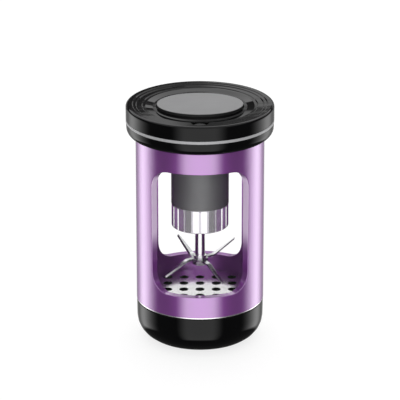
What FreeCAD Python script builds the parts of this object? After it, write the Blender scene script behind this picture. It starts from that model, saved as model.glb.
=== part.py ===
import FreeCAD, Part
import math
import os

# A cordless electric herb grinder: a rounded catch cup, a windowed aluminium sleeve with a
# clear liner and a sieve plate, and a lid that carries the battery, the motor and two
# crossed blades. Millimetres, +Z up, front towards -Y, origin on the table under the centre.

# ---------------------------------------------------------------- driving dimensions
BODY_R = 32.0            # outside of the sleeve and of the cup's rim
CUP_RIM_Z = 20.5         # top of the cup above the table
CUP_STEP = 0.1           # radial, cup's rim behind the sleeve's side
CUP_WALL = 2.7
CUP_FLOOR = 2.6
CUP_CORNER_R = 11.4      # the big round at the foot of the cup
CUP_DRAFT = 0.35         # how much the cup's side leans in towards its foot
RIM_GAP = 0.2            # between the cup's rim and the sleeve

FOOT_PROUD = 0.4         # how far the soft foot stands below the cup
FOOT_R = 15.0
FOOT_WIDTH = 4.0
FOOT_HEIGHT = 1.6

SLEEVE_WALL = 3.7
SLEEVE_SHOWN = 87.1      # between the cup's gap and the lid
SLEEVE_IN_LID = 4.9
SLEEVE_CHAMFER = 0.3     # cut edge at the foot of the sleeve
SLEEVE_TOP_CHAMFER = 0.6

WINDOW_SILL = 11.7       # from the foot of the sleeve
WINDOW_TOP_BAND = 11.0   # between the window and the lid
WINDOW_HALF_ANGLE = 48.1
WINDOW_CORNER_R = 10.0

LINER_WALL = 1.5
LINER_GAP = 0.1
LINER_GASKET = 0.5
GASKET_GAP = 0.2         # gasket to the pan above it

SIEVE_THICKNESS = 1.0
SIEVE_HOLE_R = 2.3
SIEVE_PITCH = 8.2
SIEVE_BORDER = 1.2       # least metal between a hole and the liner's bore

COLLAR_SEAT = 2.3        # collar's height inside the sleeve
COLLAR_SKIRT = 8.0       # collar's depth inside the cup
COLLAR_WALL = 2.1
COLLAR_GAP = 0.4         # radial, collar to cup
SEAL_HEIGHT = 1.6
SEAL_DEPTH = 0.9         # groove depth of the soft seals
SEAL_FIT = 0.05          # radial, a soft seal to the bore it runs in

LID_OVERHANG = 4.8       # radial, lid beyond the sleeve
LID_RING_INSET = 0.2     # radial, ring behind the cap
LID_RING_HEIGHT = 6.55
LID_RING_LAND = 0.3      # flat left under the ring inside its round
LID_RING_GAP = 0.35      # radial, ring to sleeve
TRIM_HEIGHT = 1.5
CAP_HEIGHT = 7.35
CAP_EDGE_R = 1.3
CAP_WALL = 2.2
CAP_INSIDE = 4.75        # from the cap's foot up to the underside of its top wall

RIM_WIDTH = 3.4          # widths of the cap's terraces, from the rim inwards
STEP_1_WIDTH = 1.8
STEP_2_WIDTH = 3.0
STEP_3_WIDTH = 1.6
SLOPE_WIDTH = 3.6
STEP_1_DROP = 0.32
STEP_2_DROP = 0.34
STEP_3_DROP = 0.30
STEP_EDGE_R = 0.14
SLOPE_DROP = 0.6         # fall of the sloping band round the recess
RECESS_DEPTH = 2.8
RECESS_FLOOR = 1.0
RECESS_WALL = 1.4

PLATE_SIDE_GAP = 2.0     # foot of the slope to the oval press plate, at its ends
PLATE_FRONT_GAP = 6.6    # the same, at its front and back
PLATE_CLEARANCE = 0.4    # all round, plate to the wall of its oval recess
PLATE_THICKNESS = 1.6
PLATE_EDGE_R = 0.3
CARRIER_INSET = 0.9
CARRIER_THICKNESS = 0.6
PRESS_TRAVEL = 0.4
PLUNGER_R = 2.4
PLUNGER_GAP = 0.3
CLIP_WIDTH = 1.4         # radial, clip beyond the plunger
CLIP_GAP = 0.05          # clip below the recess floor
CLIP_THICKNESS = 0.35
RETURN_RING_R = 12.0
RETURN_RING_WIDTH = 1.8

LENS_HALF_WIDTH = 4.4    # pick-shaped light lens at the front of the cap
LENS_LENGTH = 7.2
LENS_RIM = 3.4           # from the lens's outer point to the edge of the cap
LENS_BULGE_WIDTH = 0.78  # a point on each curved side, as shares of half the width
LENS_BULGE_LENGTH = 0.56 # and of the length
LENS_DEPTH = 1.7         # pocket below the cap's rim
LENS_THICKNESS = 0.6
LENS_GAP = 0.12
LENS_STEM_R = 1.5
LENS_STEM_SHIFT = 0.6    # stem's axis behind the middle of the lens
LED_HEIGHT = 0.8
LED_WIDTH = 3.0
LED_DEPTH = 1.6
LED_GAP = 0.2            # light to the lens's stem

PAN_SPIGOT_GAP = 0.3     # radial, pan to sleeve bore
PAN_DEPTH = 14.5         # spigot below the flange
PAN_WALL = 1.6
PAN_FLOOR = 1.6
FLANGE_THICKNESS = 2.2
FLANGE_SEAT = 0.4        # sleeve's top to the flange above it
FLANGE_GAP = 0.1
BOARD_POST = 1.0

HOUSING_WALL = 1.6
HOUSING_FLANGE_WIDTH = 4.2
HOUSING_FLANGE = 1.2
HOUSING_SPIGOT = 3.0
NOSE_HEIGHT = 12.2
NOSE_FLATS = 22
NOSE_FLAT_DEPTH = 0.16
NOSE_GROOVE_WIDTH = 0.7
NOSE_GROOVE_DEPTH = 0.55
NOSE_WALL = 2.0
NOSE_FLOOR = 1.8
NOSE_ROUND = 1.0

CAN_R = 12.2
CAN_WALL = 0.8
CAN_LENGTH = 26.0
CAN_SINK = 1.2           # can's open end below the top of the pan's floor
CAN_FLOOR = 1.2
CAN_BOSS_WALL = 0.8
CAN_BOSS_GAP = 0.1
CAN_BOSS = 2.1
END_CAP = 1.6
END_BOSS = 1.0
END_BOSS_WALL = 1.6
END_BOSS_ROOF = 0.5
SHAFT_TOP_INSET = 0.6    # shaft's end below the top of the end cap's boss
BUSH_WALL = 1.45
MAGNET_THICKNESS = 2.8
MAGNET_LENGTH = 17.0
MAGNET_ANGLE = 144.0
AIR_GAP = 0.6
ARMATURE_LENGTH = 14.0
ARMATURE_RISE = 6.5      # from the can's underside
SLOT_WIDTH = 1.6         # the armature's three slots
SLOT_DEPTH = 2.4
COIL_INNER_R = 2.6
COIL_INSET = 1.2         # coil inside the core's outside
COIL_OVERHANG = 0.9      # coil beyond each end of the core
COIL_HALF_ANGLE = 46.0
DAMPER_THICKNESS = 0.6
DAMPER_LENGTH = 6.0
DAMPER_INSET = 2.0       # below the can's open end
COMMUTATOR_R = 2.8
COMMUTATOR_LENGTH = 3.0
COMMUTATOR_GAP = 1.0     # above the armature's core
COMMUTATOR_SLIT = 0.3
COMMUTATOR_SLIT_DEPTH = 0.6
BRUSH_GAP = 0.1
BRUSH_LENGTH = 3.2
BRUSH_SIDE = 1.8
TAB_HEIGHT = 1.8
TAB_WIDTH = 2.2
TAB_THICKNESS = 0.5
TAB_X = 8.5

MOTOR_SHAFT_R = 1.15
SHAFT_FIT = 0.03         # radial, shaft in its bushes
SPINDLE_R = 2.5
SPINDLE_FIT = 0.05       # radial, spindle in its lip seal
SPINDLE_TOP_GAP = 2.4    # below the motor's boss
SPINDLE_SOCKET = 11.5
LIP_SEAL_WIDTH = 2.5     # radial

BLADE_HEIGHT = 17.0      # hub above the sieve plate
BLADE_TIP_R = 20.8
BLADE_FLAT = 7.9         # half length of the flat middle
BLADE_RISE = 6.2
BLADE_THICKNESS = 0.8
BLADE_ROOT_WIDTH = 3.4
BLADE_TIP_WIDTH = 1.3
BLADE_HUB_WALL = 1.5
BLADE_ANGLE = 33.0       # direction of the first raised arm, from +X
BLADE_EDGE = 0.45        # width of the ground cutting edge
BLADE_EDGE_DEPTH = 0.75  # how far down it goes, as a share of the thickness
GRIND_START = 0.6        # ground edge's start beyond the bend
GRIND_OVER = 0.6         # how far the wheel reaches past the edge
NUT_WALL = 0.7           # thinnest wall of the nut, at the middle of a flat
NUT_HEIGHT = 2.2
SPINDLE_END = 0.4        # spindle's end above the foot of the nut
BLADE_COLLAR_WALL = 0.8
BLADE_COLLAR_HEIGHT = 1.3

CELL_LENGTH = 34.0
CELL_WIDTH = 28.0
CELL_THICKNESS = 8.0
CELL_ROUND = 2.0
PAD_INSET = 4.0          # foam pad inside the cell's edges
CRADLE_GAP = 1.2         # above the motor's terminals
CRADLE_PLATE = 1.0
CRADLE_LIP = 1.3
CRADLE_LIP_HEIGHT = 2.4
LEG_R = 1.3
LEG_GAP = 0.3            # radial, leg to the housing's flange
LEG_ANGLE = 42.2

BOARD_GAP = 1.2          # radial, board to the cap's bore
BOARD_THICKNESS = 1.0
CHIPS = [                # length, width, height and place of the board's parts
    (5.0, 5.0, 0.9, -14.0, 9.0),
    (4.0, 3.0, 0.8, 13.0, 10.0),
    (4.0, 4.0, 1.2, 13.0, -10.0),
    (3.0, 1.6, 0.7, -12.0, -11.0),
]
SWITCH_SIDE = 6.0
SWITCH_HEIGHT = 1.0
BUTTON_R = 1.2
BUTTON_GAP = 0.15
BUTTON_LIFT = 0.2        # button above the board when pressed
PORT_WIDTH = 8.94
PORT_HEIGHT = 3.26
PORT_LENGTH = 7.3
PORT_SHELL = 0.3
PORT_INSET = 0.2         # mouth of the port behind the cap's side
PORT_CLEARANCE = 0.2
PORT_BACK = 1.2          # closed back of the port
TONGUE_WIDTH = 6.7
TONGUE_LENGTH = 4.6
TONGUE_THICKNESS = 0.7

LID_SCREW_R = 1.25
LID_SCREW_HEAD_R = 2.2
LID_SCREW_HEAD = 1.2
LID_SCREW_INSET = 3.8    # screw's axis inside the flange's edge
LID_SCREW_LENGTH = 5.8
LID_BOSS_R = 2.7
SMALL_SCREW_R = 0.9
SMALL_SCREW_HEAD_R = 1.7
SMALL_SCREW_HEAD = 1.1
SMALL_SCREW_LENGTH = 2.6
HOUSING_SCREW_INSET = 2.2
MOTOR_SCREW_CIRCLE = 8.0

# ---------------------------------------------------------------- heights and radii that follow
SLEEVE_Z = CUP_RIM_Z + RIM_GAP
LID_Z = SLEEVE_Z + SLEEVE_SHOWN
SLEEVE_TOP_Z = LID_Z + SLEEVE_IN_LID
WINDOW_HEIGHT = SLEEVE_SHOWN - WINDOW_SILL - WINDOW_TOP_BAND
BORE_R = BODY_R - SLEEVE_WALL
CUP_R = BODY_R - CUP_STEP
CUP_BORE_R = CUP_R - CUP_WALL

SIEVE_Z = SLEEVE_Z + COLLAR_SEAT
LINER_Z = SIEVE_Z + SIEVE_THICKNESS
LINER_R = BORE_R - LINER_GAP
LINER_BORE_R = LINER_R - LINER_WALL

LID_R = BODY_R + LID_OVERHANG
LID_RING_R = LID_R - LID_RING_INSET
TRIM_Z = LID_Z + LID_RING_HEIGHT
CAP_Z = TRIM_Z + TRIM_HEIGHT
TOP_Z = CAP_Z + CAP_HEIGHT

FLANGE_Z = SLEEVE_TOP_Z + FLANGE_SEAT
FLANGE_TOP_Z = FLANGE_Z + FLANGE_THICKNESS
CAP_BORE_R = LID_R - CAP_WALL
FLANGE_R = CAP_BORE_R - 2 * FLANGE_GAP
PAN_Z = FLANGE_Z - PAN_DEPTH
PAN_TOP_OF_FLOOR = PAN_Z + PAN_FLOOR
PAN_R = BORE_R - PAN_SPIGOT_GAP
PAN_BORE_R = PAN_R - PAN_WALL
LINER_TOP_Z = PAN_Z - GASKET_GAP - LINER_GASKET

BOARD_Z = FLANGE_TOP_Z + BOARD_POST
BOARD_TOP_Z = BOARD_Z + BOARD_THICKNESS
CAP_CEILING_Z = CAP_Z + CAP_INSIDE

STEP_1_R = LID_R - RIM_WIDTH
STEP_2_R = STEP_1_R - STEP_1_WIDTH
STEP_3_R = STEP_2_R - STEP_2_WIDTH
STEP_4_R = STEP_3_R - STEP_3_WIDTH
RECESS_R = STEP_4_R - SLOPE_WIDTH
RECESS_Z = TOP_Z - RECESS_DEPTH
RECESS_FOOT_Z = RECESS_Z - RECESS_FLOOR
PLATE_A = RECESS_R - PLATE_SIDE_GAP
PLATE_B = RECESS_R - PLATE_FRONT_GAP
PLATE_Z = TOP_Z - PLATE_THICKNESS
CARRIER_Z = PLATE_Z - CARRIER_THICKNESS
PLUNGER_Z = RECESS_FOOT_Z - CLIP_GAP - CLIP_THICKNESS
CLIP_R = PLUNGER_R + CLIP_WIDTH
BUTTON_Z = BOARD_TOP_Z + PRESS_TRAVEL + BUTTON_LIFT

CAN_TOP_Z = PAN_TOP_OF_FLOOR - CAN_SINK
CAN_Z = CAN_TOP_Z - CAN_LENGTH
CAN_BORE_R = CAN_R - CAN_WALL
BUSH_R = MOTOR_SHAFT_R + BUSH_WALL
CAN_BOSS_R = BUSH_R + CAN_BOSS_WALL
HOUSING_BORE_R = CAN_R + DAMPER_THICKNESS
HOUSING_R = HOUSING_BORE_R + HOUSING_WALL
HOUSING_FOOT_Z = CAN_Z - HOUSING_WALL
HOUSING_FLANGE_R = HOUSING_R + HOUSING_FLANGE_WIDTH
HOUSING_SCREW_CIRCLE = HOUSING_FLANGE_R - HOUSING_SCREW_INSET
LID_SCREW_CIRCLE = FLANGE_R - LID_SCREW_INSET
MAGNET_BORE_R = CAN_BORE_R - MAGNET_THICKNESS
ARMATURE_R = MAGNET_BORE_R - AIR_GAP
NOSE_Z = HOUSING_FOOT_Z - NOSE_HEIGHT
NOSE_BORE_R = HOUSING_R - NOSE_WALL
CAN_BOSS_Z = CAN_Z - CAN_BOSS
SPINDLE_TOP_Z = CAN_BOSS_Z - SPINDLE_TOP_GAP
BLADE_HUB_Z = LINER_Z + BLADE_HEIGHT
BLADE_HUB_R = SPINDLE_R + BLADE_HUB_WALL
BLADE_COLLAR_R = SPINDLE_R + BLADE_COLLAR_WALL
SEAL_LIP_R = SPINDLE_R + LIP_SEAL_WIDTH
SPINDLE_Z = BLADE_HUB_Z - BLADE_THICKNESS - NUT_HEIGHT + SPINDLE_END
ARMATURE_Z = CAN_Z + ARMATURE_RISE
MAGNET_Z = ARMATURE_Z - (MAGNET_LENGTH - ARMATURE_LENGTH) / 2
COMMUTATOR_Z = ARMATURE_Z + ARMATURE_LENGTH + COMMUTATOR_GAP
SHAFT_TOP_Z = CAN_TOP_Z + END_CAP + END_BOSS - SHAFT_TOP_INSET
CRADLE_Z = CAN_TOP_Z + END_CAP + TAB_HEIGHT + CRADLE_GAP
CELL_Z = CRADLE_Z + CRADLE_PLATE
LEG_CIRCLE = HOUSING_FLANGE_R + LEG_R + LEG_GAP
BOARD_R = CAP_BORE_R - BOARD_GAP

PORT_Z = BOARD_TOP_Z + PORT_HEIGHT / 2
PORT_MOUTH_Y = LID_R - PORT_INSET

LENS_POCKET_Z = TOP_Z - LENS_DEPTH
LENS_OUTER_Y = LID_R - LENS_RIM
LENS_INNER_Y = LENS_OUTER_Y - LENS_LENGTH
LENS_STEM_Y = LENS_STEM_SHIFT - (LENS_INNER_Y + LENS_OUTER_Y) / 2
UP = FreeCAD.Vector(0, 0, 1)
AXIS = FreeCAD.Vector(0, 0, 0)


# ---------------------------------------------------------------- shape helpers
def at(x, y, z):
    return FreeCAD.Vector(x, y, z)


def rod(radius, low, high, x=0.0, y=0.0):
    """A round bar along Z from low to high."""
    return Part.makeCylinder(radius, high - low, at(x, y, low))


def tube(outer, inner, low, high, x=0.0, y=0.0):
    """A round pipe along Z from low to high."""
    return rod(outer, low, high, x, y).cut(rod(inner, low, high, x, y))


def block(size_x, size_y, low, high, x=0.0, y=0.0):
    """A box centred on x, y, from low to high."""
    return Part.makeBox(size_x, size_y, high - low, at(x - size_x / 2, y - size_y / 2, low))


def rounded_corner(before, corner, after, radius):
    """Start, middle and end of the arc that rounds one corner of a profile."""
    to_before = (before - corner).normalize()
    to_after = (after - corner).normalize()
    half_angle = to_before.getAngle(to_after) / 2
    reach = radius / math.tan(half_angle)
    start = corner + to_before * reach
    end = corner + to_after * reach
    inwards = (to_before + to_after).normalize()
    centre = corner + inwards * (radius / math.sin(half_angle))
    middle = centre - inwards * radius
    return start, middle, end


def outline(corners):
    """A closed wire in the XZ plane through (r, z) corners, or (r, z, round) where rounded."""
    points = [at(corner[0], 0, corner[1]) for corner in corners]
    count = len(points)
    edges = []
    exits = []
    entries = []
    arcs = []
    for index, corner in enumerate(corners):
        if len(corner) == 3:
            start, middle, end = rounded_corner(
                points[index - 1], points[index], points[(index + 1) % count], corner[2])
            arcs.append(Part.Arc(start, middle, end).toShape())
        else:
            start = points[index]
            end = points[index]
            arcs.append(None)
        entries.append(start)
        exits.append(end)
    for index in range(count):
        if arcs[index]:
            edges.append(arcs[index])
        start = exits[index]
        end = entries[(index + 1) % count]
        if start.distanceToPoint(end) > 1e-6:
            edges.append(Part.LineSegment(start, end).toShape())
    return Part.Wire(edges)


def turned(corners):
    """A lathe-turned solid about Z, from its half section in (r, z)."""
    return Part.Face(outline(corners)).revolve(AXIS, UP, 360)


def sector(inner, outer, low, high, middle_angle, half_angle):
    """A slice of a ring, centred on middle_angle degrees from +X."""
    face = Part.Face(outline([(inner, low), (outer, low), (outer, high), (inner, high)]))
    slice_solid = face.revolve(AXIS, UP, 2 * half_angle)
    slice_solid.rotate(AXIS, UP, middle_angle - half_angle)
    return slice_solid


def oval(half_x, half_y, low, high):
    """An upright oval bar."""
    curve = Part.Ellipse(at(0, 0, low), half_x, half_y).toShape()
    return Part.Face(Part.Wire(curve)).extrude(UP * (high - low))


def bar_y(width, height, length, x, y, z):
    """A bar along +Y from y with fully rounded sides, centred on x and z."""
    round_r = height / 2
    straight = width / 2 - round_r
    middle = Part.makeBox(2 * straight, length, height, at(x - straight, y, z - round_r))
    ends = [Part.makeCylinder(round_r, length, at(x + side * straight, y, z), at(0, 1, 0))
            for side in (-1, 1)]
    return middle.multiFuse(ends).removeSplitter()


def around(make, count, start=0.0):
    """The same solid made once and set out evenly about Z, as a list."""
    copies = []
    for index in range(count):
        copy = make.copy()
        copy.rotate(AXIS, UP, start + index * 360.0 / count)
        copies.append(copy)
    return copies


def edges_at(shape, test):
    """The shape's edges that pass a test."""
    return [edge for edge in shape.Edges if test(edge)]


def pan_screw(radius, head_r, head, length, x, y, z, direction):
    """A cross-recessed screw; z is the plane under its head and direction is the shank's."""
    shank = Part.makeCylinder(radius, length, at(x, y, z), UP * direction)
    top = Part.makeCylinder(head_r, head, at(x, y, z), UP * -direction)
    screw = top.fuse(shank).removeSplitter()
    recess_z = z - direction * head
    for turn in (0, 90):
        slot = block(head_r * 1.2, head_r * 0.32, 0, head * 0.6)
        slot.rotate(AXIS, UP, turn)
        slot.translate(at(x, y, recess_z if direction > 0 else recess_z - head * 0.6))
        screw = screw.cut(slot)
    return screw


# ---------------------------------------------------------------- cup and foot
def base_cup():
    """The rounded cup that catches the ground herb."""
    foot_side_r = CUP_R - CUP_DRAFT
    floor_z = FOOT_PROUD + CUP_FLOOR
    shell = turned([
        (0, FOOT_PROUD),
        (foot_side_r, FOOT_PROUD, CUP_CORNER_R),
        (CUP_R, CUP_RIM_Z, 0.3),
        (CUP_BORE_R, CUP_RIM_Z, 0.3),
        (CUP_BORE_R, floor_z, CUP_CORNER_R - CUP_WALL),
        (0, floor_z),
    ])
    return shell.cut(tube(FOOT_R, FOOT_R - FOOT_WIDTH, FOOT_PROUD, FOOT_HEIGHT))


def foot_ring():
    """The soft ring that the cup stands on."""
    inner = FOOT_R - FOOT_WIDTH
    return turned([(inner, 0, 0.25), (FOOT_R, 0, 0.25), (FOOT_R, FOOT_HEIGHT), (inner, FOOT_HEIGHT)])


# ---------------------------------------------------------------- sleeve
def window_cutter(middle_angle):
    """A window's opening: sides on radial planes, corners rounded."""
    low = SLEEVE_Z + WINDOW_SILL
    slice_solid = sector(BORE_R - 3, BODY_R + 3, low, low + WINDOW_HEIGHT, middle_angle,
                         WINDOW_HALF_ANGLE)

    def is_radial(edge):
        ends = [vertex.Point for vertex in edge.Vertexes]
        level = abs(ends[0].z - ends[-1].z) < 1e-6
        return level and isinstance(edge.Curve, (Part.Line, Part.LineSegment))

    return slice_solid.makeFillet(WINDOW_CORNER_R, edges_at(slice_solid, is_radial))


def window_sleeve():
    """The coloured aluminium tube, with a window at the front and one at the back."""
    body = turned([
        (BORE_R, SLEEVE_Z),
        (BODY_R - SLEEVE_CHAMFER, SLEEVE_Z),
        (BODY_R, SLEEVE_Z + SLEEVE_CHAMFER),
        (BODY_R, SLEEVE_TOP_Z - SLEEVE_TOP_CHAMFER),
        (BODY_R - SLEEVE_TOP_CHAMFER, SLEEVE_TOP_Z),
        (BORE_R, SLEEVE_TOP_Z),
    ])
    return body.cut([window_cutter(270), window_cutter(90)])


def clear_liner():
    """The clear tube that keeps the herb in behind the windows."""
    return tube(LINER_R, LINER_BORE_R, LINER_Z, LINER_TOP_Z)


def liner_gasket():
    return tube(LINER_R, LINER_BORE_R, LINER_TOP_Z, LINER_TOP_Z + LINER_GASKET)


def sieve_plate():
    """The polished plate with a square grid of holes, one of them on the axis."""
    plate = rod(BORE_R, SIEVE_Z, LINER_Z)
    reach = LINER_BORE_R - SIEVE_BORDER - SIEVE_HOLE_R
    steps = int(reach / SIEVE_PITCH) + 1
    places = [(i * SIEVE_PITCH, j * SIEVE_PITCH)
              for i in range(-steps, steps + 1) for j in range(-steps, steps + 1)]
    holes = [rod(SIEVE_HOLE_R, SIEVE_Z, LINER_Z, x, y) for x, y in places
             if math.hypot(x, y) <= reach]
    return plate.cut(holes)


def seal_z():
    return SLEEVE_Z - COLLAR_SKIRT / 2 - SEAL_HEIGHT / 2


def lower_collar():
    """The ring that holds the sieve plate in the sleeve and plugs into the cup."""
    skirt_r = CUP_BORE_R - COLLAR_GAP
    inner = BORE_R - COLLAR_WALL
    foot = SLEEVE_Z - COLLAR_SKIRT
    collar = turned([
        (inner, foot),
        (skirt_r, foot, 0.5),
        (skirt_r, SLEEVE_Z - RIM_GAP),
        (BORE_R, SLEEVE_Z - RIM_GAP),
        (BORE_R, SIEVE_Z),
        (inner, SIEVE_Z),
    ])
    return collar.cut(tube(skirt_r + 1, skirt_r - SEAL_DEPTH, seal_z(), seal_z() + SEAL_HEIGHT))


def soft_seal(groove_r, outer_r, low):
    """A soft ring in a groove, its outside rounded."""
    return turned([
        (groove_r, low),
        (outer_r, low, 0.4),
        (outer_r, low + SEAL_HEIGHT, 0.4),
        (groove_r, low + SEAL_HEIGHT),
    ])


def cup_seal():
    return soft_seal(CUP_BORE_R - COLLAR_GAP - SEAL_DEPTH, CUP_BORE_R - SEAL_FIT, seal_z())


# ---------------------------------------------------------------- lid shells
def lid_ring():
    """The lower ring of the lid, round underneath, that fits over the sleeve."""
    inner = BODY_R + LID_RING_GAP
    return turned([
        (inner, LID_Z, 0.2),
        (LID_RING_R, LID_Z, LID_RING_R - inner - LID_RING_LAND),
        (LID_RING_R, TRIM_Z, 0.15),
        (FLANGE_R + FLANGE_GAP, TRIM_Z),
        (FLANGE_R + FLANGE_GAP, FLANGE_Z),
        (inner, FLANGE_Z),
    ])


def trim_ring():
    """The narrow bright ring between the two dark parts of the lid."""
    return turned([
        (FLANGE_R + FLANGE_GAP, TRIM_Z),
        (LID_R, TRIM_Z, 0.2),
        (LID_R, CAP_Z, 0.2),
        (FLANGE_R + FLANGE_GAP, CAP_Z),
    ])


def lens_outline(grow, low, high):
    """The pick shape: a straight inner edge and two arcs that meet at an outer point."""
    half = LENS_HALF_WIDTH + grow
    inner_y = -(LENS_INNER_Y - grow)
    outer_y = -(LENS_OUTER_Y + grow)
    left = at(-half, inner_y, low)
    right = at(half, inner_y, low)
    tip = at(0, outer_y, low)
    bulge_x = half * LENS_BULGE_WIDTH
    bulge_y = inner_y + (outer_y - inner_y) * LENS_BULGE_LENGTH
    edges = [
        Part.LineSegment(left, right).toShape(),
        Part.Arc(right, at(bulge_x, bulge_y, low), tip).toShape(),
        Part.Arc(tip, at(-bulge_x, bulge_y, low), left).toShape(),
    ]
    return Part.Face(Part.Wire(edges)).extrude(UP * (high - low))


def lid_cap():
    """The upper shell: terraced top, oval recess for the press plate, screw bosses."""
    z_1 = TOP_Z - STEP_1_DROP
    z_2 = z_1 - STEP_2_DROP
    z_3 = z_2 - STEP_3_DROP
    edge = STEP_EDGE_R
    shell = turned([
        (0, RECESS_FOOT_Z),
        (RECESS_R + RECESS_WALL, RECESS_FOOT_Z),
        (RECESS_R + RECESS_WALL, CAP_CEILING_Z),
        (CAP_BORE_R, CAP_CEILING_Z),
        (CAP_BORE_R, CAP_Z),
        (LID_R, CAP_Z, 0.15),
        (LID_R, TOP_Z, CAP_EDGE_R),
        (STEP_1_R, TOP_Z, edge),
        (STEP_1_R, z_1, edge),
        (STEP_2_R, z_1, edge),
        (STEP_2_R, z_2, edge),
        (STEP_3_R, z_2, edge),
        (STEP_3_R, z_3, edge),
        (STEP_4_R, z_3, edge),
        (RECESS_R, z_3 - SLOPE_DROP, 0.2),
        (0, z_3 - SLOPE_DROP),
    ])
    boss = rod(LID_BOSS_R, BOARD_TOP_Z, CAP_CEILING_Z, LID_SCREW_CIRCLE)
    shell = shell.multiFuse(around(boss, 4, 45)).removeSplitter()
    screw_top = FLANGE_Z + LID_SCREW_HEAD + LID_SCREW_LENGTH
    pilot = rod(LID_SCREW_R, BOARD_TOP_Z, screw_top, LID_SCREW_CIRCLE)
    cutters = around(pilot, 4, 45)
    cutters.append(oval(PLATE_A + PLATE_CLEARANCE, PLATE_B + PLATE_CLEARANCE, RECESS_Z, TOP_Z))
    cutters.append(rod(PLUNGER_R + PLUNGER_GAP, RECESS_FOOT_Z, RECESS_Z))
    cutters.append(lens_outline(0, LENS_POCKET_Z, TOP_Z + 1))
    cutters.append(rod(LENS_STEM_R + LENS_GAP, CAP_CEILING_Z, LENS_POCKET_Z, 0, LENS_STEM_Y))
    cutters.append(bar_y(PORT_WIDTH + 2 * PORT_CLEARANCE, PORT_HEIGHT + 2 * PORT_CLEARANCE,
                         CAP_WALL + 2, 0, CAP_BORE_R - 1, PORT_Z))
    return shell.cut(cutters)


def indicator_lens():
    """The light lens, set a little below the cap's top, with its light pipe."""
    face = lens_outline(-LENS_GAP, LENS_POCKET_Z, LENS_POCKET_Z + LENS_THICKNESS)
    foot_z = BOARD_TOP_Z + LED_HEIGHT + LED_GAP
    stem = rod(LENS_STEM_R, foot_z, LENS_POCKET_Z, 0, LENS_STEM_Y)
    return face.fuse(stem).removeSplitter()


def status_led():
    return block(LED_WIDTH, LED_DEPTH, BOARD_TOP_Z, BOARD_TOP_Z + LED_HEIGHT, 0, LENS_STEM_Y)


def head_pan():
    """The pan that closes the lid, plugs into the sleeve and carries the motor."""
    boss = rod(LID_BOSS_R, FLANGE_TOP_Z, BOARD_Z, LID_SCREW_CIRCLE)
    pan = turned([
        (HOUSING_R, PAN_Z),
        (PAN_R, PAN_Z, 0.6),
        (PAN_R, FLANGE_Z),
        (FLANGE_R, FLANGE_Z),
        (FLANGE_R, FLANGE_TOP_Z),
        (PAN_BORE_R, FLANGE_TOP_Z),
        (PAN_BORE_R, PAN_TOP_OF_FLOOR, 1.0),
        (HOUSING_R, PAN_TOP_OF_FLOOR),
    ]).multiFuse(around(boss, 4, 45)).removeSplitter()
    shank = rod(LID_SCREW_R, FLANGE_Z, BOARD_Z, LID_SCREW_CIRCLE)
    head = rod(LID_SCREW_HEAD_R, FLANGE_Z, FLANGE_Z + LID_SCREW_HEAD, LID_SCREW_CIRCLE)
    small = rod(SMALL_SCREW_R, PAN_TOP_OF_FLOOR + HOUSING_FLANGE - SMALL_SCREW_LENGTH,
                PAN_TOP_OF_FLOOR, HOUSING_SCREW_CIRCLE)
    cutters = around(shank, 4, 45) + around(head, 4, 45) + around(small, 3, 90)
    cutters.append(tube(PAN_R + 1, PAN_R - SEAL_DEPTH, lid_seal_z(), lid_seal_z() + SEAL_HEIGHT))
    return pan.cut(cutters)


def lid_seal_z():
    return PAN_Z + PAN_DEPTH / 2


def lid_seal():
    return soft_seal(PAN_R - SEAL_DEPTH, BORE_R - SEAL_FIT, lid_seal_z())


def lid_screws():
    """Four screws up through the pan's flange and the board into the cap."""
    z = FLANGE_Z + LID_SCREW_HEAD
    screw = pan_screw(LID_SCREW_R, LID_SCREW_HEAD_R, LID_SCREW_HEAD, LID_SCREW_LENGTH,
                      LID_SCREW_CIRCLE, 0, z, 1)
    return Part.makeCompound(around(screw, 4, 45))


# ---------------------------------------------------------------- press plate
def press_plate():
    """The oval plate that is pressed to run the grinder."""
    plate = oval(PLATE_A, PLATE_B, PLATE_Z, TOP_Z)
    top_edges = edges_at(plate, lambda edge: edge.BoundBox.ZMin > TOP_Z - 1e-3)
    return plate.makeFillet(PLATE_EDGE_R, top_edges)


def plate_carrier():
    """The moulding under the plate, with the plunger in its middle."""
    carrier = oval(PLATE_A - CARRIER_INSET, PLATE_B - CARRIER_INSET, CARRIER_Z, PLATE_Z)
    stem = rod(PLUNGER_R, PLUNGER_Z, PLATE_Z)
    groove = tube(PLUNGER_R + 1, PLUNGER_R - 0.5, PLUNGER_Z, PLUNGER_Z + CLIP_THICKNESS)
    return carrier.fuse(stem).removeSplitter().cut(groove)


def plunger_clip():
    """The open clip that keeps the plunger in the cap."""
    clip = tube(CLIP_R, PLUNGER_R - 0.5, PLUNGER_Z, PLUNGER_Z + CLIP_THICKNESS)
    mouth = block(2 * CLIP_R, 2.2, PLUNGER_Z, PLUNGER_Z + CLIP_THICKNESS, CLIP_R)
    return clip.cut(mouth)


def switch_button():
    return rod(BUTTON_R, BUTTON_Z, PLUNGER_Z)


def return_ring():
    """The soft ring under the carrier that lifts the plate back."""
    return tube(RETURN_RING_R, RETURN_RING_R - RETURN_RING_WIDTH, RECESS_Z, CARRIER_Z)


# ---------------------------------------------------------------- board, cell and port
def main_board():
    """The round board with its parts, drilled for the screws; the port sits on top of it."""
    board = rod(BOARD_R, BOARD_Z, BOARD_TOP_Z)
    hole = rod(LID_SCREW_R + 0.2, BOARD_Z, BOARD_TOP_Z, LID_SCREW_CIRCLE)
    chips = [block(length, width, BOARD_TOP_Z, BOARD_TOP_Z + height, x, y)
             for length, width, height, x, y in CHIPS]
    return board.cut(around(hole, 4, 45)).multiFuse(chips).removeSplitter()


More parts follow.
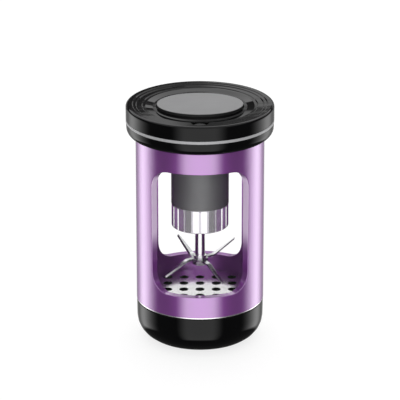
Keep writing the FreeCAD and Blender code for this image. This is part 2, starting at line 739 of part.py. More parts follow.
def tact_switch():
    """The switch body; its button drops into the hole."""
    body = block(SWITCH_SIDE, SWITCH_SIDE, BOARD_TOP_Z, BOARD_TOP_Z + SWITCH_HEIGHT)
    return body.cut(rod(BUTTON_R + BUTTON_GAP, BOARD_TOP_Z, BOARD_TOP_Z + SWITCH_HEIGHT))


def charge_port():
    """The charging socket: a thin shell, a closed back and the tongue inside."""
    back_y = PORT_MOUTH_Y - PORT_LENGTH
    shell = bar_y(PORT_WIDTH, PORT_HEIGHT, PORT_LENGTH, 0, back_y, PORT_Z)
    hollow = bar_y(PORT_WIDTH - 2 * PORT_SHELL, PORT_HEIGHT - 2 * PORT_SHELL,
                   PORT_LENGTH - PORT_BACK, 0, back_y + PORT_BACK, PORT_Z)
    tongue = Part.makeBox(
        TONGUE_WIDTH, TONGUE_LENGTH, TONGUE_THICKNESS,
        at(-TONGUE_WIDTH / 2, back_y + PORT_BACK, PORT_Z - TONGUE_THICKNESS / 2))
    return shell.cut(hollow).fuse(tongue).removeSplitter()


def battery_cell():
    """The flat cell, its long edges rounded."""
    cell = block(CELL_LENGTH, CELL_WIDTH, CELL_Z, CELL_Z + CELL_THICKNESS)
    long_edges = edges_at(cell, lambda edge: edge.BoundBox.XLength > CELL_LENGTH - 1)
    return cell.makeFillet(CELL_ROUND, long_edges)


def battery_cradle():
    """The tray that holds the cell above the motor, on four legs."""
    outside = block(CELL_LENGTH + 2 * CRADLE_LIP, CELL_WIDTH + 2 * CRADLE_LIP, CRADLE_Z,
                    CELL_Z + CRADLE_LIP_HEIGHT)
    inside = block(CELL_LENGTH, CELL_WIDTH, CELL_Z, CELL_Z + CRADLE_LIP_HEIGHT)
    leg = rod(LEG_R, PAN_TOP_OF_FLOOR, CRADLE_Z, LEG_CIRCLE)
    legs = around(leg, 2, LEG_ANGLE) + around(leg, 2, -LEG_ANGLE)
    return outside.cut(inside).multiFuse(legs).removeSplitter()


def battery_pad():
    """The foam block between the cell and the board."""
    return block(CELL_LENGTH - 2 * PAD_INSET, CELL_WIDTH - 2 * PAD_INSET,
                 CELL_Z + CELL_THICKNESS, BOARD_Z)


# ---------------------------------------------------------------- motor
def motor_housing():
    """The dark cup that hangs from the pan and holds the motor."""
    spigot_r = NOSE_BORE_R
    flange_z = PAN_TOP_OF_FLOOR
    shell = turned([
        (CAN_BOSS_R + CAN_BOSS_GAP, HOUSING_FOOT_Z),
        (spigot_r - HOUSING_WALL, HOUSING_FOOT_Z),
        (spigot_r - HOUSING_WALL, HOUSING_FOOT_Z - HOUSING_SPIGOT),
        (spigot_r, HOUSING_FOOT_Z - HOUSING_SPIGOT),
        (spigot_r, HOUSING_FOOT_Z),
        (HOUSING_R, HOUSING_FOOT_Z),
        (HOUSING_R, flange_z),
        (HOUSING_FLANGE_R, flange_z),
        (HOUSING_FLANGE_R, flange_z + HOUSING_FLANGE),
        (HOUSING_BORE_R, flange_z + HOUSING_FLANGE),
        (HOUSING_BORE_R, CAN_Z),
        (CAN_BOSS_R + CAN_BOSS_GAP, CAN_Z),
    ])
    small = rod(SMALL_SCREW_R, flange_z, flange_z + HOUSING_FLANGE, HOUSING_SCREW_CIRCLE)
    motor = rod(SMALL_SCREW_R, HOUSING_FOOT_Z, CAN_Z, MOTOR_SCREW_CIRCLE)
    return shell.cut(around(small, 3, 90) + around(motor, 2, 0))


def housing_screws():
    z = PAN_TOP_OF_FLOOR + HOUSING_FLANGE
    screw = pan_screw(SMALL_SCREW_R, SMALL_SCREW_HEAD_R, SMALL_SCREW_HEAD, SMALL_SCREW_LENGTH,
                      HOUSING_SCREW_CIRCLE, 0, z, -1)
    return Part.makeCompound(around(screw, 3, 90))


def motor_screws():
    screw = pan_screw(SMALL_SCREW_R, SMALL_SCREW_HEAD_R, SMALL_SCREW_HEAD, SMALL_SCREW_LENGTH,
                      MOTOR_SCREW_CIRCLE, 0, HOUSING_FOOT_Z, 1)
    return Part.makeCompound(around(screw, 2, 0))


def motor_can():
    """The motor's steel can, closed at the shaft end."""
    can = turned([
        (BUSH_R, CAN_BOSS_Z),
        (CAN_BOSS_R, CAN_BOSS_Z),
        (CAN_BOSS_R, CAN_Z),
        (CAN_R, CAN_Z, 0.7),
        (CAN_R, CAN_TOP_Z),
        (CAN_BORE_R, CAN_TOP_Z),
        (CAN_BORE_R, CAN_Z + CAN_FLOOR),
        (BUSH_R, CAN_Z + CAN_FLOOR),
    ])
    hole = rod(SMALL_SCREW_R, CAN_Z, CAN_Z + CAN_FLOOR, MOTOR_SCREW_CIRCLE)
    return can.cut(around(hole, 2, 0))


def motor_damper():
    """The rubber sleeve between the can and the housing."""
    low = CAN_TOP_Z - DAMPER_LENGTH - DAMPER_INSET
    return tube(HOUSING_BORE_R, CAN_R, low, low + DAMPER_LENGTH)


def motor_end_cap():
    """The moulded end of the motor, with its two terminal tabs."""
    boss_top = CAN_TOP_Z + END_CAP + END_BOSS
    cap = turned([
        (BUSH_R, CAN_TOP_Z),
        (CAN_R, CAN_TOP_Z),
        (CAN_R, CAN_TOP_Z + END_CAP, 0.4),
        (BUSH_R + END_BOSS_WALL, CAN_TOP_Z + END_CAP),
        (BUSH_R + END_BOSS_WALL, boss_top),
        (0, boss_top),
        (0, boss_top - END_BOSS_ROOF),
        (BUSH_R, boss_top - END_BOSS_ROOF),
    ])
    tabs = [block(TAB_THICKNESS, TAB_WIDTH, CAN_TOP_Z + END_CAP - TAB_THICKNESS,
                  CAN_TOP_Z + END_CAP + TAB_HEIGHT, x, 0) for x in (-TAB_X, TAB_X)]
    return cap.multiFuse(tabs).removeSplitter()


def field_magnets():
    """Two curved magnets inside the can."""
    return Part.makeCompound([
        sector(MAGNET_BORE_R, CAN_BORE_R, MAGNET_Z, MAGNET_Z + MAGNET_LENGTH, angle,
               MAGNET_ANGLE / 2) for angle in (0, 180)])


def motor_brushes():
    """Two carbon brushes beside the commutator."""
    z = COMMUTATOR_Z + COMMUTATOR_LENGTH / 2
    x = COMMUTATOR_R + BRUSH_GAP
    brush = block(BRUSH_LENGTH, BRUSH_SIDE, z - BRUSH_SIDE / 2, CAN_TOP_Z, x + BRUSH_LENGTH / 2)
    return Part.makeCompound(around(brush, 2, 90))


def front_bush():
    return tube(BUSH_R, MOTOR_SHAFT_R + SHAFT_FIT, CAN_BOSS_Z, CAN_Z + CAN_FLOOR)


def rear_bush():
    return tube(BUSH_R, MOTOR_SHAFT_R + SHAFT_FIT, CAN_TOP_Z, SHAFT_TOP_Z)


def nose_ring():
    """The bright fluted ring below the housing: flats with a narrow groove between them."""
    body = turned([
        (SEAL_LIP_R, NOSE_Z),
        (HOUSING_R, NOSE_Z, NOSE_ROUND),
        (HOUSING_R, HOUSING_FOOT_Z),
        (NOSE_BORE_R, HOUSING_FOOT_Z),
        (NOSE_BORE_R, NOSE_Z + NOSE_FLOOR),
        (SEAL_LIP_R, NOSE_Z + NOSE_FLOOR),
    ])
    pitch = 360.0 / NOSE_FLATS
    flat_r = HOUSING_R - NOSE_FLAT_DEPTH
    low = NOSE_Z - 1
    high = HOUSING_FOOT_Z - 0.6
    shave = Part.makeBox(2, 6, high - low, at(flat_r, -3, low))
    groove = Part.makeBox(2, NOSE_GROOVE_WIDTH, high - low,
                          at(HOUSING_R - NOSE_GROOVE_DEPTH, -NOSE_GROOVE_WIDTH / 2, low))
    shaves = around(shave, NOSE_FLATS, 270 + pitch / 2)
    grooves = around(groove, NOSE_FLATS, 270)
    return body.cut(shaves + grooves)


def shaft_seal():
    """The lip seal in the floor of the fluted ring."""
    inner = SPINDLE_R + SPINDLE_FIT
    return tube(SEAL_LIP_R, inner, NOSE_Z, NOSE_Z + NOSE_FLOOR)


# ---------------------------------------------------------------- rotor
def motor_shaft():
    return rod(MOTOR_SHAFT_R, SPINDLE_TOP_Z - SPINDLE_SOCKET, SHAFT_TOP_Z)


def armature():
    """The slotted iron core with its three windings."""
    core = tube(ARMATURE_R, MOTOR_SHAFT_R, ARMATURE_Z, ARMATURE_Z + ARMATURE_LENGTH)
    slot = Part.makeBox(ARMATURE_R, SLOT_WIDTH, ARMATURE_LENGTH,
                        at(ARMATURE_R - SLOT_DEPTH, -SLOT_WIDTH / 2, ARMATURE_Z))
    core = core.cut(around(slot, 3, 0))
    coil = sector(COIL_INNER_R, ARMATURE_R - COIL_INSET, ARMATURE_Z - COIL_OVERHANG,
                  ARMATURE_Z + ARMATURE_LENGTH + COIL_OVERHANG, 0, COIL_HALF_ANGLE)
    return core.multiFuse(around(coil, 3, 60)).removeSplitter()


def commutator():
    body = tube(COMMUTATOR_R, MOTOR_SHAFT_R, COMMUTATOR_Z, COMMUTATOR_Z + COMMUTATOR_LENGTH)
    slit = Part.makeBox(COMMUTATOR_R, COMMUTATOR_SLIT, COMMUTATOR_LENGTH,
                        at(COMMUTATOR_R - COMMUTATOR_SLIT_DEPTH, -COMMUTATOR_SLIT / 2,
                           COMMUTATOR_Z))
    return body.cut(around(slit, 3, 0))


def spindle():
    """The polished spindle from the motor's shaft down to the blades."""
    body = turned([
        (0, SPINDLE_Z),
        (SPINDLE_R, SPINDLE_Z, 0.4),
        (SPINDLE_R, SPINDLE_TOP_Z, 0.4),
        (0, SPINDLE_TOP_Z),
    ])
    return body.cut(rod(MOTOR_SHAFT_R, SPINDLE_TOP_Z - SPINDLE_SOCKET, SPINDLE_TOP_Z))


def blade(low, turn):
    """A strip bent up at one end and down at the other, tapered, one long edge ground."""
    thickness = BLADE_THICKNESS
    side = [
        at(-BLADE_TIP_R, 0, low - BLADE_RISE),
        at(-BLADE_FLAT, 0, low),
        at(BLADE_FLAT, 0, low),
        at(BLADE_TIP_R, 0, low + BLADE_RISE),
        at(BLADE_TIP_R, 0, low + BLADE_RISE + thickness),
        at(BLADE_FLAT, 0, low + thickness),
        at(-BLADE_FLAT, 0, low + thickness),
        at(-BLADE_TIP_R, 0, low - BLADE_RISE + thickness),
    ]
    width = BLADE_ROOT_WIDTH + 2
    strip = Part.Face(Part.makePolygon(side + side[:1])).extrude(at(0, width, 0))
    strip.translate(at(0, -width / 2, 0))
    root = BLADE_ROOT_WIDTH / 2
    tip = BLADE_TIP_WIDTH / 2
    plan = [
        at(-BLADE_TIP_R, -tip, 0), at(-BLADE_HUB_R, -root, 0), at(BLADE_HUB_R, -root, 0),
        at(BLADE_TIP_R, -tip, 0), at(BLADE_TIP_R, tip, 0), at(BLADE_HUB_R, root, 0),
        at(-BLADE_HUB_R, root, 0), at(-BLADE_TIP_R, tip, 0),
    ]
    tall = 2 * BLADE_RISE + 4
    cookie = Part.Face(Part.makePolygon(plan + plan[:1])).extrude(at(0, 0, tall))
    cookie.translate(at(0, 0, low - tall / 2))
    arms = strip.common(cookie)
    hub = rod(BLADE_HUB_R, low, low + thickness)
    body = arms.fuse(hub).removeSplitter().cut(rod(SPINDLE_R, low - 1, low + 2))
    for way in (0, 180):
        body = body.cut(ground_edge(low, way))
    body.rotate(AXIS, UP, turn)
    return body


def ground_edge(low, way):
    """What grinding takes off the top of an arm's leading long edge."""
    slope = math.atan2(BLADE_RISE, BLADE_TIP_R - BLADE_FLAT)
    taper = math.atan2((BLADE_ROOT_WIDTH - BLADE_TIP_WIDTH) / 2, BLADE_TIP_R - BLADE_HUB_R)
    along = BLADE_TIP_R - BLADE_FLAT + 2
    rise_at_start = GRIND_START * math.tan(slope) * (1 if way == 0 else -1)
    start_y = BLADE_ROOT_WIDTH / 2 - math.tan(taper) * (BLADE_FLAT - BLADE_HUB_R)
    section = [at(0, -BLADE_EDGE, 0), at(0, GRIND_OVER, 0),
               at(0, GRIND_OVER, -1.5 * BLADE_THICKNESS),
               at(0, 0, -BLADE_THICKNESS * BLADE_EDGE_DEPTH)]
    wedge = Part.Face(Part.makePolygon(section + section[:1])).extrude(at(along / math.cos(slope), 0, 0))
    wedge.rotate(AXIS, UP, -math.degrees(taper))
    lift = -math.degrees(slope) if way == 0 else math.degrees(slope)
    wedge.rotate(AXIS, at(0, 1, 0), lift)
    wedge.translate(at(BLADE_FLAT + GRIND_START, start_y,
                       low + BLADE_THICKNESS * 0.98 + rise_at_start))
    wedge.rotate(AXIS, UP, way)
    return wedge


def upper_blade():
    return blade(BLADE_HUB_Z, BLADE_ANGLE)


def lower_blade():
    return blade(BLADE_HUB_Z - BLADE_THICKNESS, BLADE_ANGLE + 90)


def blade_collar():
    """The collar above the blades."""
    low = BLADE_HUB_Z + BLADE_THICKNESS
    high = low + BLADE_COLLAR_HEIGHT
    return turned([
        (SPINDLE_R, low),
        (BLADE_COLLAR_R, low),
        (BLADE_COLLAR_R, high, 0.3),
        (SPINDLE_R, high),
    ])


def blade_nut():
    """The six-sided nut under the blades."""
    high = BLADE_HUB_Z - BLADE_THICKNESS
    low = high - NUT_HEIGHT
    corner_r = (SPINDLE_R + NUT_WALL) / math.cos(math.radians(30))
    corners = [at(corner_r * math.cos(math.radians(60 * k)), corner_r * math.sin(math.radians(60 * k)), low)
               for k in range(7)]
    hexagon = Part.Face(Part.makePolygon(corners)).extrude(UP * NUT_HEIGHT)
    rounding = turned([(0, low), (corner_r, low, 0.7), (corner_r, high), (0, high)])
    return hexagon.common(rounding).cut(rod(SPINDLE_R, SPINDLE_Z, high))


# ---------------------------------------------------------------- build
PIECES = [
    base_cup, foot_ring,
    window_sleeve, clear_liner, liner_gasket, sieve_plate, lower_collar, cup_seal,
    lid_ring, trim_ring, lid_cap, indicator_lens, status_led, head_pan, lid_seal, lid_screws,
    press_plate, plate_carrier, plunger_clip, switch_button, return_ring,
    main_board, tact_switch, charge_port, battery_cell, battery_cradle, battery_pad,
    motor_housing, housing_screws, motor_screws, motor_can, motor_damper, motor_end_cap,
    field_magnets, motor_brushes, front_bush, rear_bush, nose_ring, shaft_seal,
    motor_shaft, armature, commutator, spindle, upper_blade, lower_blade, blade_collar,
    blade_nut,
]

os.makedirs("parts", exist_ok=True)
for piece in PIECES:
    shape = piece()
    shape.exportStep("parts/" + piece.__name__ + ".step")
    box = shape.BoundBox
    print(f"{piece.__name__:16s} solids {len(shape.Solids)} valid {shape.isValid()} "
          f"volume {shape.Volume:9.1f} z {box.ZMin:7.2f} {box.ZMax:7.2f}")
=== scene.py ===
import math

import bmesh
import bpy
import numpy as np
from bpy.props import FloatProperty, FloatVectorProperty, IntProperty, PointerProperty
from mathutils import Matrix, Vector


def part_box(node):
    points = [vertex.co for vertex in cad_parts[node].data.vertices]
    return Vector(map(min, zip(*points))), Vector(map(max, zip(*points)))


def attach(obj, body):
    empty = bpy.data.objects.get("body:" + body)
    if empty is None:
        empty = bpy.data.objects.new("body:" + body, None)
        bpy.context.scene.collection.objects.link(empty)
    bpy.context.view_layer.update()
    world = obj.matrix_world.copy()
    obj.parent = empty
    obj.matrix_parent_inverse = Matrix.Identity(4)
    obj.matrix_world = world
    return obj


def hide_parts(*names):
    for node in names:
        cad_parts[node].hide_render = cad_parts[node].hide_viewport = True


bl_info = {
    "name": "Cordless herb grinder",
    "version": (1, 0, 0),
    "blender": (4, 5, 0),
    "location": "3D View > Sidebar > Grinder",
    "description": "Finishes a windowed, battery-driven herb grinder and sets up its studio",
    "category": "Object",
}

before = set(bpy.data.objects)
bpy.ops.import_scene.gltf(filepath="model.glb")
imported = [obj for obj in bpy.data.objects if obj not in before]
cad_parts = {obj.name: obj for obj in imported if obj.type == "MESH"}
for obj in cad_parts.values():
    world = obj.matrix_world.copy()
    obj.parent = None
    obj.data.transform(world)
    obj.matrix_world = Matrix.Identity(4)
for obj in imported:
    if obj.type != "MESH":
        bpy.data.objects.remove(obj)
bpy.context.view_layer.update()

MM = 0.001
WELD = 1e-6                     # points nearer than this become one
ARC_STEPS = 7                   # points along a section's round
TURN_STEPS = 224                # steps round a turned piece
SHARP_ANGLE = math.radians(32)  # edges that bend more than this shade sharp

FOOT_WIDTH = 4 * MM
FOOT_RIBS = 48
LINER_WALL = 1.5 * MM
RING_BORE = 32.35 * MM          # radius of the bore of the lid's lower ring
CAP_WALL = 2.2 * MM
CAP_ROUND = 1.3 * MM            # round of the lid's upper edge
CAP_CEILING = 4.75 * MM         # underside of the cap's deck above its foot
RECESS_DEPTH = 2.8 * MM         # floor of the plate's recess below the lid's top
RECESS_FLOOR = 1.0 * MM
PLATE_GAP = 0.4 * MM            # room round the oval plate
LENS_GAP = 0.12 * MM            # room round the lens
LENS_POCKET = 0.6 * MM          # floor of the lens's pocket below the lens's top
PLUNGER_HOLE_R = 2.7 * MM
SOCKET_GAP = 0.2 * MM           # room round the charging socket
BLADE_REACH = 20.8 * MM
BLADE_THICKNESS = 0.8 * MM
BLADE_TURN = math.radians(33)   # the upper blade's raised arm, from the X axis


# ---------------------------------------------------------------- sizes and colours
def length(name, millimetres):
    return FloatProperty(name=name, default=millimetres * MM, min=0.0, unit="LENGTH",
                         precision=5)


def colour(name, red, green, blue):
    return FloatVectorProperty(name=name, subtype="COLOR", size=3,
                               default=(red, green, blue), min=0.0, max=1.0)


class GrinderSizes(bpy.types.PropertyGroup):
    """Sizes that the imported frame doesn't give by itself."""

    cup_wall: length("Wall of the catch cup", 2.7)
    cup_floor: length("Thickness of the cup's floor", 2.6)
    cup_corner: length("Round at the foot of the cup", 11.4)
    cup_draft: length("How far the cup's side leans in", 0.35)
    foot_groove: length("Depth of the groove the foot sits in", 1.2)
    sleeve_wall: length("Wall of the coloured sleeve", 3.7)
    window_sill: length("Window above the sleeve's foot", 11.7)
    window_head: length("Window below the sleeve's top", 15.9)
    window_round: length("Round of the window's corners", 10.0)
    window_edge: length("Round along the window's edges", 0.35)
    bright_edge: length("Bare strip at the sleeve's foot", 0.75)
    window_angle: FloatProperty(name="Window half angle", default=math.radians(48.1),
                                description="Half the angle that a window spans",
                                subtype="ANGLE")
    fluting: IntProperty(name="Flats", description="Flats round the bright nose ring",
                         default=22, min=6, max=60)
    flute_groove: length("Width of the groove between two flats", 0.7)
    flute_depth: length("Depth of the groove between two flats", 0.55)
    blade_root: length("Width of an arm at the hub", 3.4)
    blade_tip: length("Width of an arm at its tip", 1.3)
    blade_flat: length("Where an arm starts to rise", 7.9)
    blade_bevel: length("Width of the ground edge", 0.7)


class GrinderColours(bpy.types.PropertyGroup):
    """Colours of the finishes that show."""

    sleeve: colour("Anodised aluminium", 0.30, 0.072, 0.385)
    # the window edges' pale lilac is the cut metal's tone and a painted highlight
    sleeve_cut_and_highlight: colour("Machined window edges", 0.74, 0.58, 0.79)
    gloss: colour("Cup and lid", 0.0016, 0.0016, 0.0018)
    trim: colour("Satin ring round the lid", 0.40, 0.40, 0.41)
    plate: colour("Brushed oval plate", 0.25, 0.25, 0.255)
    housing: colour("Satin dark housing", 0.15, 0.15, 0.155)
    chrome: colour("Fluted nose ring", 0.74, 0.72, 0.76)
    steel: colour("Sieve plate and spindle", 0.93, 0.93, 0.93)
    blade: colour("Ground blade steel", 0.52, 0.52, 0.53)


# ---------------------------------------------------------------- node writing
class Signal:
    """A value that changes over a surface; arithmetic on it adds Math nodes."""

    def __init__(self, writer, socket):
        self.writer = writer
        self.socket = socket

    def math(self, operation, *terms):
        return self.writer.node("ShaderNodeMath", {"operation": operation},
                                dict(enumerate(terms)))

    def __add__(self, other):
        return self.math("ADD", self, other)

    def __sub__(self, other):
        return self.math("SUBTRACT", self, other)

    def __rsub__(self, other):
        return self.math("SUBTRACT", other, self)

    def __mul__(self, other):
        return self.math("MULTIPLY", self, other)

    def __truediv__(self, other):
        return self.math("DIVIDE", self, other)

    def __pow__(self, other):
        return self.math("POWER", self, other)

    __radd__ = __add__
    __rmul__ = __mul__

    def size(self):
        return self.math("ABSOLUTE", self)

    def at_least(self, other):
        return self.math("MAXIMUM", self, other)

    def wave(self):
        return self.math("SINE", self)

    def step_up(self, low, high):
        """0 below low, 1 above high, eased between."""
        settings = {"interpolation_type": "SMOOTHSTEP"}
        return self.writer.node("ShaderNodeMapRange", settings,
                                {"Value": self, "From Min": low, "From Max": high})

    def band(self, low, high, soft):
        """1 between low and high, eased to 0 over soft on either side."""
        return self.step_up(low - soft, low) * (1.0 - self.step_up(high, high + soft))


class Writer:
    """Adds nodes to a tree: a type, its settings, then the values or links of its sockets."""

    def __init__(self, tree):
        self.tree = tree
        tree.nodes.clear()

    def node(self, kind, settings=None, inputs=None, output=0):
        node = self.tree.nodes.new(kind)
        for name, value in (settings or {}).items():
            setattr(node, name, value)
        for key, value in (inputs or {}).items():
            self.feed(node.inputs[key], value)
        return Signal(self, node.outputs[output])

    def feed(self, socket, value):
        if isinstance(value, Signal):
            self.tree.links.new(value.socket, socket)
        else:
            socket.default_value = value

    def place(self):
        return self.node("ShaderNodeTexCoord", output="Object")

    def axes(self, vector):
        split = self.node("ShaderNodeSeparateXYZ", inputs={0: vector}).socket.node
        return [Signal(self, split.outputs[index]) for index in range(3)]

    def vector(self, x, y, z):
        return self.node("ShaderNodeCombineXYZ", inputs={0: x, 1: y, 2: z})

    def xyz(self):
        """The object's own x, y and z in metres."""
        return self.axes(self.place())

    def stretched(self, *scales):
        """Object coordinates, each axis scaled by its own amount."""
        return self.vector(*[part * scale for part, scale in zip(self.xyz(), scales)])

    def noise(self, vector, scale, detail=2.0, roughness=0.5):
        return self.node("ShaderNodeTexNoise", {"noise_dimensions": "3D"},
                         {"Vector": vector, "Scale": scale, "Detail": detail,
                          "Roughness": roughness})

    def cells(self, vector, scale):
        """How far a point lies from the middle of its cell."""
        return self.node("ShaderNodeTexVoronoi", {"voronoi_dimensions": "3D"},
                         {"Vector": vector, "Scale": scale}, "Distance")

    def blend(self, factor, first, second):
        """A colour between two colours."""
        node = self.tree.nodes.new("ShaderNodeMix")
        node.data_type = "RGBA"
        self.feed(node.inputs[0], factor)
        self.feed(node.inputs[6], first)
        self.feed(node.inputs[7], second)
        return Signal(self, node.outputs[2])

    def bump(self, height, distance):
        return self.node("ShaderNodeBump", inputs={"Height": height, "Distance": distance})

    def round_place(self):
        """Metres from the centre line, the angle round it in radians, and the height."""
        x, y, z = self.xyz()
        return (x * x + y * y) ** 0.5, y.math("ARCTAN2", y, x), z


class Finish(Writer):
    """A material with one Principled surface."""

    def __init__(self, name):
        self.material = bpy.data.materials.new(name)
        self.material.use_nodes = True
        super().__init__(self.material.node_tree)
        self.surface = self.tree.nodes.new("ShaderNodeBsdfPrincipled")
        output = self.tree.nodes.new("ShaderNodeOutputMaterial")
        self.tree.links.new(self.surface.outputs[0], output.inputs["Surface"])

    def set(self, **sockets):
        for name, value in sockets.items():
            self.feed(self.surface.inputs[name.replace("_", " ")], value)
        return self.material


def rgb(value, scale=1.0):
    return tuple(min(1.0, part * scale) for part in value) + (1.0,)


# ---------------------------------------------------------------- finishes
def gloss_black(base):
    """Deep gloss moulding: faint orange peel, a little dust and handling haze."""
    finish = Finish("black_gloss")
    place = finish.place()
    haze = finish.noise(place, 55.0, 3.0)
    dust = finish.cells(place, 1500.0)
    speck = 1.0 - dust.step_up(0.05, 0.12)
    return finish.set(
        Base_Color=finish.blend(haze, rgb(base, 0.8), rgb(base, 1.5)),
        Roughness=0.015 + haze * 0.03 + speck * 0.2,
        IOR=1.31,
        Normal=finish.bump(finish.noise(place, 130.0, 1.0), 0.00001),
    )


def anodised(base, cut_and_highlight_colour, sizes):
    """Anodised tube: drawn lines round it, a bare strip at its foot, and paler cut faces
    where the windows' sides stand upright: the cut metal's tone with a painted highlight,
    pale only above a set height and kept dark purple below it as painted shade."""
    finish = Finish("anodised_sleeve")
    radius, angle, z = finish.round_place()
    low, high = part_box("window_sleeve")
    outer = high[0]
    bore = outer - sizes.sleeve_wall
    bare_top = low[2] + sizes.bright_edge
    drawn = finish.noise(finish.vector(angle * 0.25, radius * 30.0, z * 9000.0), 1.0, 3.0)
    cloud = finish.noise(finish.place(), 40.0, 2.0)
    bare = 1.0 - z.step_up(bare_top - 0.04 * MM, bare_top + 0.04 * MM)
    bare = bare * radius.step_up(bore + 1.0 * MM, bore + 1.1 * MM)
    machined_and_highlit = radius.band(bore + 0.12 * MM, outer - 0.15 * MM, 0.1 * MM)
    machined_and_highlit = machined_and_highlit * z.band(low[2] + 4 * MM, high[2] - 4 * MM, 0.5 * MM)
    sideways = finish.xyz()[0].size() / radius
    # painted highlight: the upright cut faces turn pale only above 50 to 64 mm and stay dark
    # purple below as painted shade
    machined_and_highlit = machined_and_highlit * sideways.step_up(0.66, 0.73) * z.step_up(50 * MM, 64 * MM)
    inside = 1.0 - radius.step_up(bore, bore + 0.1 * MM)
    purple = finish.blend(cloud, rgb(base, 0.94), rgb(base, 1.06))
    purple = finish.blend(machined_and_highlit, purple, rgb(cut_and_highlight_colour))
    return finish.set(
        Base_Color=finish.blend(bare, purple, rgb((0.97, 0.93, 0.97))),
        Metallic=0.72 + bare * 0.2 - machined_and_highlit * 0.5,
        Roughness=0.40 + (drawn - 0.5) * 0.12 - bare * 0.2 + machined_and_highlit * 0.1,
        Coat_Weight=(1.0 - bare) * (1.0 - machined_and_highlit * 0.9) * (1.0 - inside * 0.8),
        Coat_Roughness=0.10,
        Coat_IOR=2.45,
        Normal=finish.bump(drawn, 0.000006),
    )


def clear_tube():
    """Clear moulded tube: almost unseen face on, and a pale line where it turns away, a
    painted reflection made of pale colour that grows opaque there.
    """
    finish = Finish("clear_tube")
    # painted reflection: pale colour grows opaque where the tube turns away
    facing = finish.node("ShaderNodeLayerWeight", inputs={"Blend": 0.3}, output="Facing")
    smear = finish.noise(finish.stretched(60.0, 60.0, 14.0), 1.0, 3.0)
    return finish.set(
        Base_Color=rgb((0.93, 0.92, 0.95)),
        Roughness=0.02 + smear * 0.05,
        IOR=1.45,
        Alpha=0.004 + (facing ** 6.0) * 0.22 + smear.step_up(0.65, 0.9) * 0.01,
    )


def bare_metal(name, base, roughness, lines, scratches=0.0, bump=0.000004, metallic=1.0):
    """Worked metal: lines along one way, with finer scratches and a change of tone."""
    finish = Finish(name)
    grain = finish.noise(finish.stretched(*lines), 1.0, 3.0, 0.6)
    cloud = finish.noise(finish.place(), 140.0, 3.0)
    fine = finish.noise(finish.stretched(2500.0, 120.0, 2500.0), 1.0, 1.0)
    mark = fine.step_up(0.62, 0.72) * scratches
    return finish.set(
        Base_Color=finish.blend(cloud * 0.6 + grain * 0.4, rgb(base, 0.86), rgb(base, 1.1)),
        Metallic=metallic,
        Roughness=roughness * 0.7 + grain * (roughness * 0.6) + mark,
        Normal=finish.bump(grain, bump),
    )


def brushed_plate(base):
    """Brushed and lacquered plate: fine lines across it, each a little lighter or darker,
    and a side painted near black as painted shade of the dark gap round the plate."""
    finish = Finish("brushed_plate")
    line = finish.noise(finish.stretched(45.0, 9000.0, 40.0), 1.0, 3.0, 0.7)
    cloud = finish.noise(finish.place(), 70.0, 2.0)
    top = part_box("press_plate")[1][2]
    # painted shade: the plate's side below its top is near black, standing for the dark gap round
    # the plate
    side = 1.0 - finish.xyz()[2].step_up(top - 0.3 * MM, top - 0.2 * MM)
    brushed = finish.blend(line * 0.7 + cloud * 0.3, rgb(base, 0.7), rgb(base, 1.3))
    return finish.set(
        Base_Color=finish.blend(side, brushed, (0.018, 0.018, 0.018, 1.0)),
        Metallic=0.25 * (1.0 - side),
        Roughness=0.40 + line * 0.16,
        Normal=finish.bump(line, 0.000012),
    )


def satin_dark(base):
    """Satin dark metal with a fine bead-blasted grain."""
    finish = Finish("dark_housing")
    grain = finish.noise(finish.place(), 4200.0, 2.0)
    cloud = finish.noise(finish.place(), 90.0, 2.0)
    return finish.set(
        Base_Color=finish.blend(cloud, rgb(base, 0.85), rgb(base, 1.15)),
        Metallic=0.5,
        Roughness=0.46 + grain * 0.14,
        Normal=finish.bump(grain, 0.000006),
    )


def moulded(name, base, roughness, grain=2600.0, bump=0.00002):
    """Moulded plastic or rubber with a spark-eroded texture."""
    finish = Finish(name)
    texture = finish.noise(finish.place(), grain, 3.0, 0.6)
    cloud = finish.noise(finish.place(), 120.0, 2.0)
    return finish.set(
        Base_Color=finish.blend(cloud, rgb(base, 0.8), rgb(base, 1.25)),
        Roughness=roughness * 0.85 + texture * roughness * 0.3,
        Normal=finish.bump(texture, bump),
    )


def circuit_board():
    """Dark board: tracks where a slow noise is near its middle value, tinned pads at the
    middles of cells."""
    finish = Finish("board")
    place = finish.place()
    ways = finish.noise(place, 260.0, 0.0)
    track = 1.0 - (ways - 0.5).size().step_up(0.012, 0.02)
    pad = 1.0 - finish.cells(place, 330.0).step_up(0.12, 0.16)
    lacquer = finish.blend(track, (0.012, 0.05, 0.03, 1.0), (0.03, 0.11, 0.06, 1.0))
    return finish.set(
        Base_Color=finish.blend(pad, lacquer, (0.75, 0.72, 0.66, 1.0)),
        Metallic=pad * 0.9,
        Roughness=0.32 - pad * 0.08 + track * 0.05,
        Normal=finish.bump(track + pad, 0.00003),
    )


def cell_wrap():
    """Shrink-wrapped foil pouch: broad creases under a blue-grey film, darker in the
    creases' hollows as painted shade.
    """
    finish = Finish("cell_wrap")
    crease = finish.noise(finish.stretched(90.0, 260.0, 260.0), 1.0, 3.0)
    # painted shade: the film is darker where the crease noise dips, the same noise that bumps it
    return finish.set(
        Base_Color=finish.blend(crease, (0.30, 0.34, 0.40, 1.0), (0.42, 0.46, 0.52, 1.0)),
        Metallic=0.4,
        Roughness=0.25 + crease * 0.2,
        Normal=finish.bump(crease, 0.00012),
    )


def foam():
    """Open-cell foam, darker in its pores as painted shade."""
    finish = Finish("foam")
    pores = finish.cells(finish.place(), 1500.0)
    # painted shade: the foam is darker in the pits of the pores, the same cells that bump it
    return finish.set(
        Base_Color=finish.blend(pores, (0.02, 0.02, 0.022, 1.0), (0.16, 0.16, 0.17, 1.0)),
        Roughness=0.95,
        Normal=finish.bump(pores, 0.0002),
    )


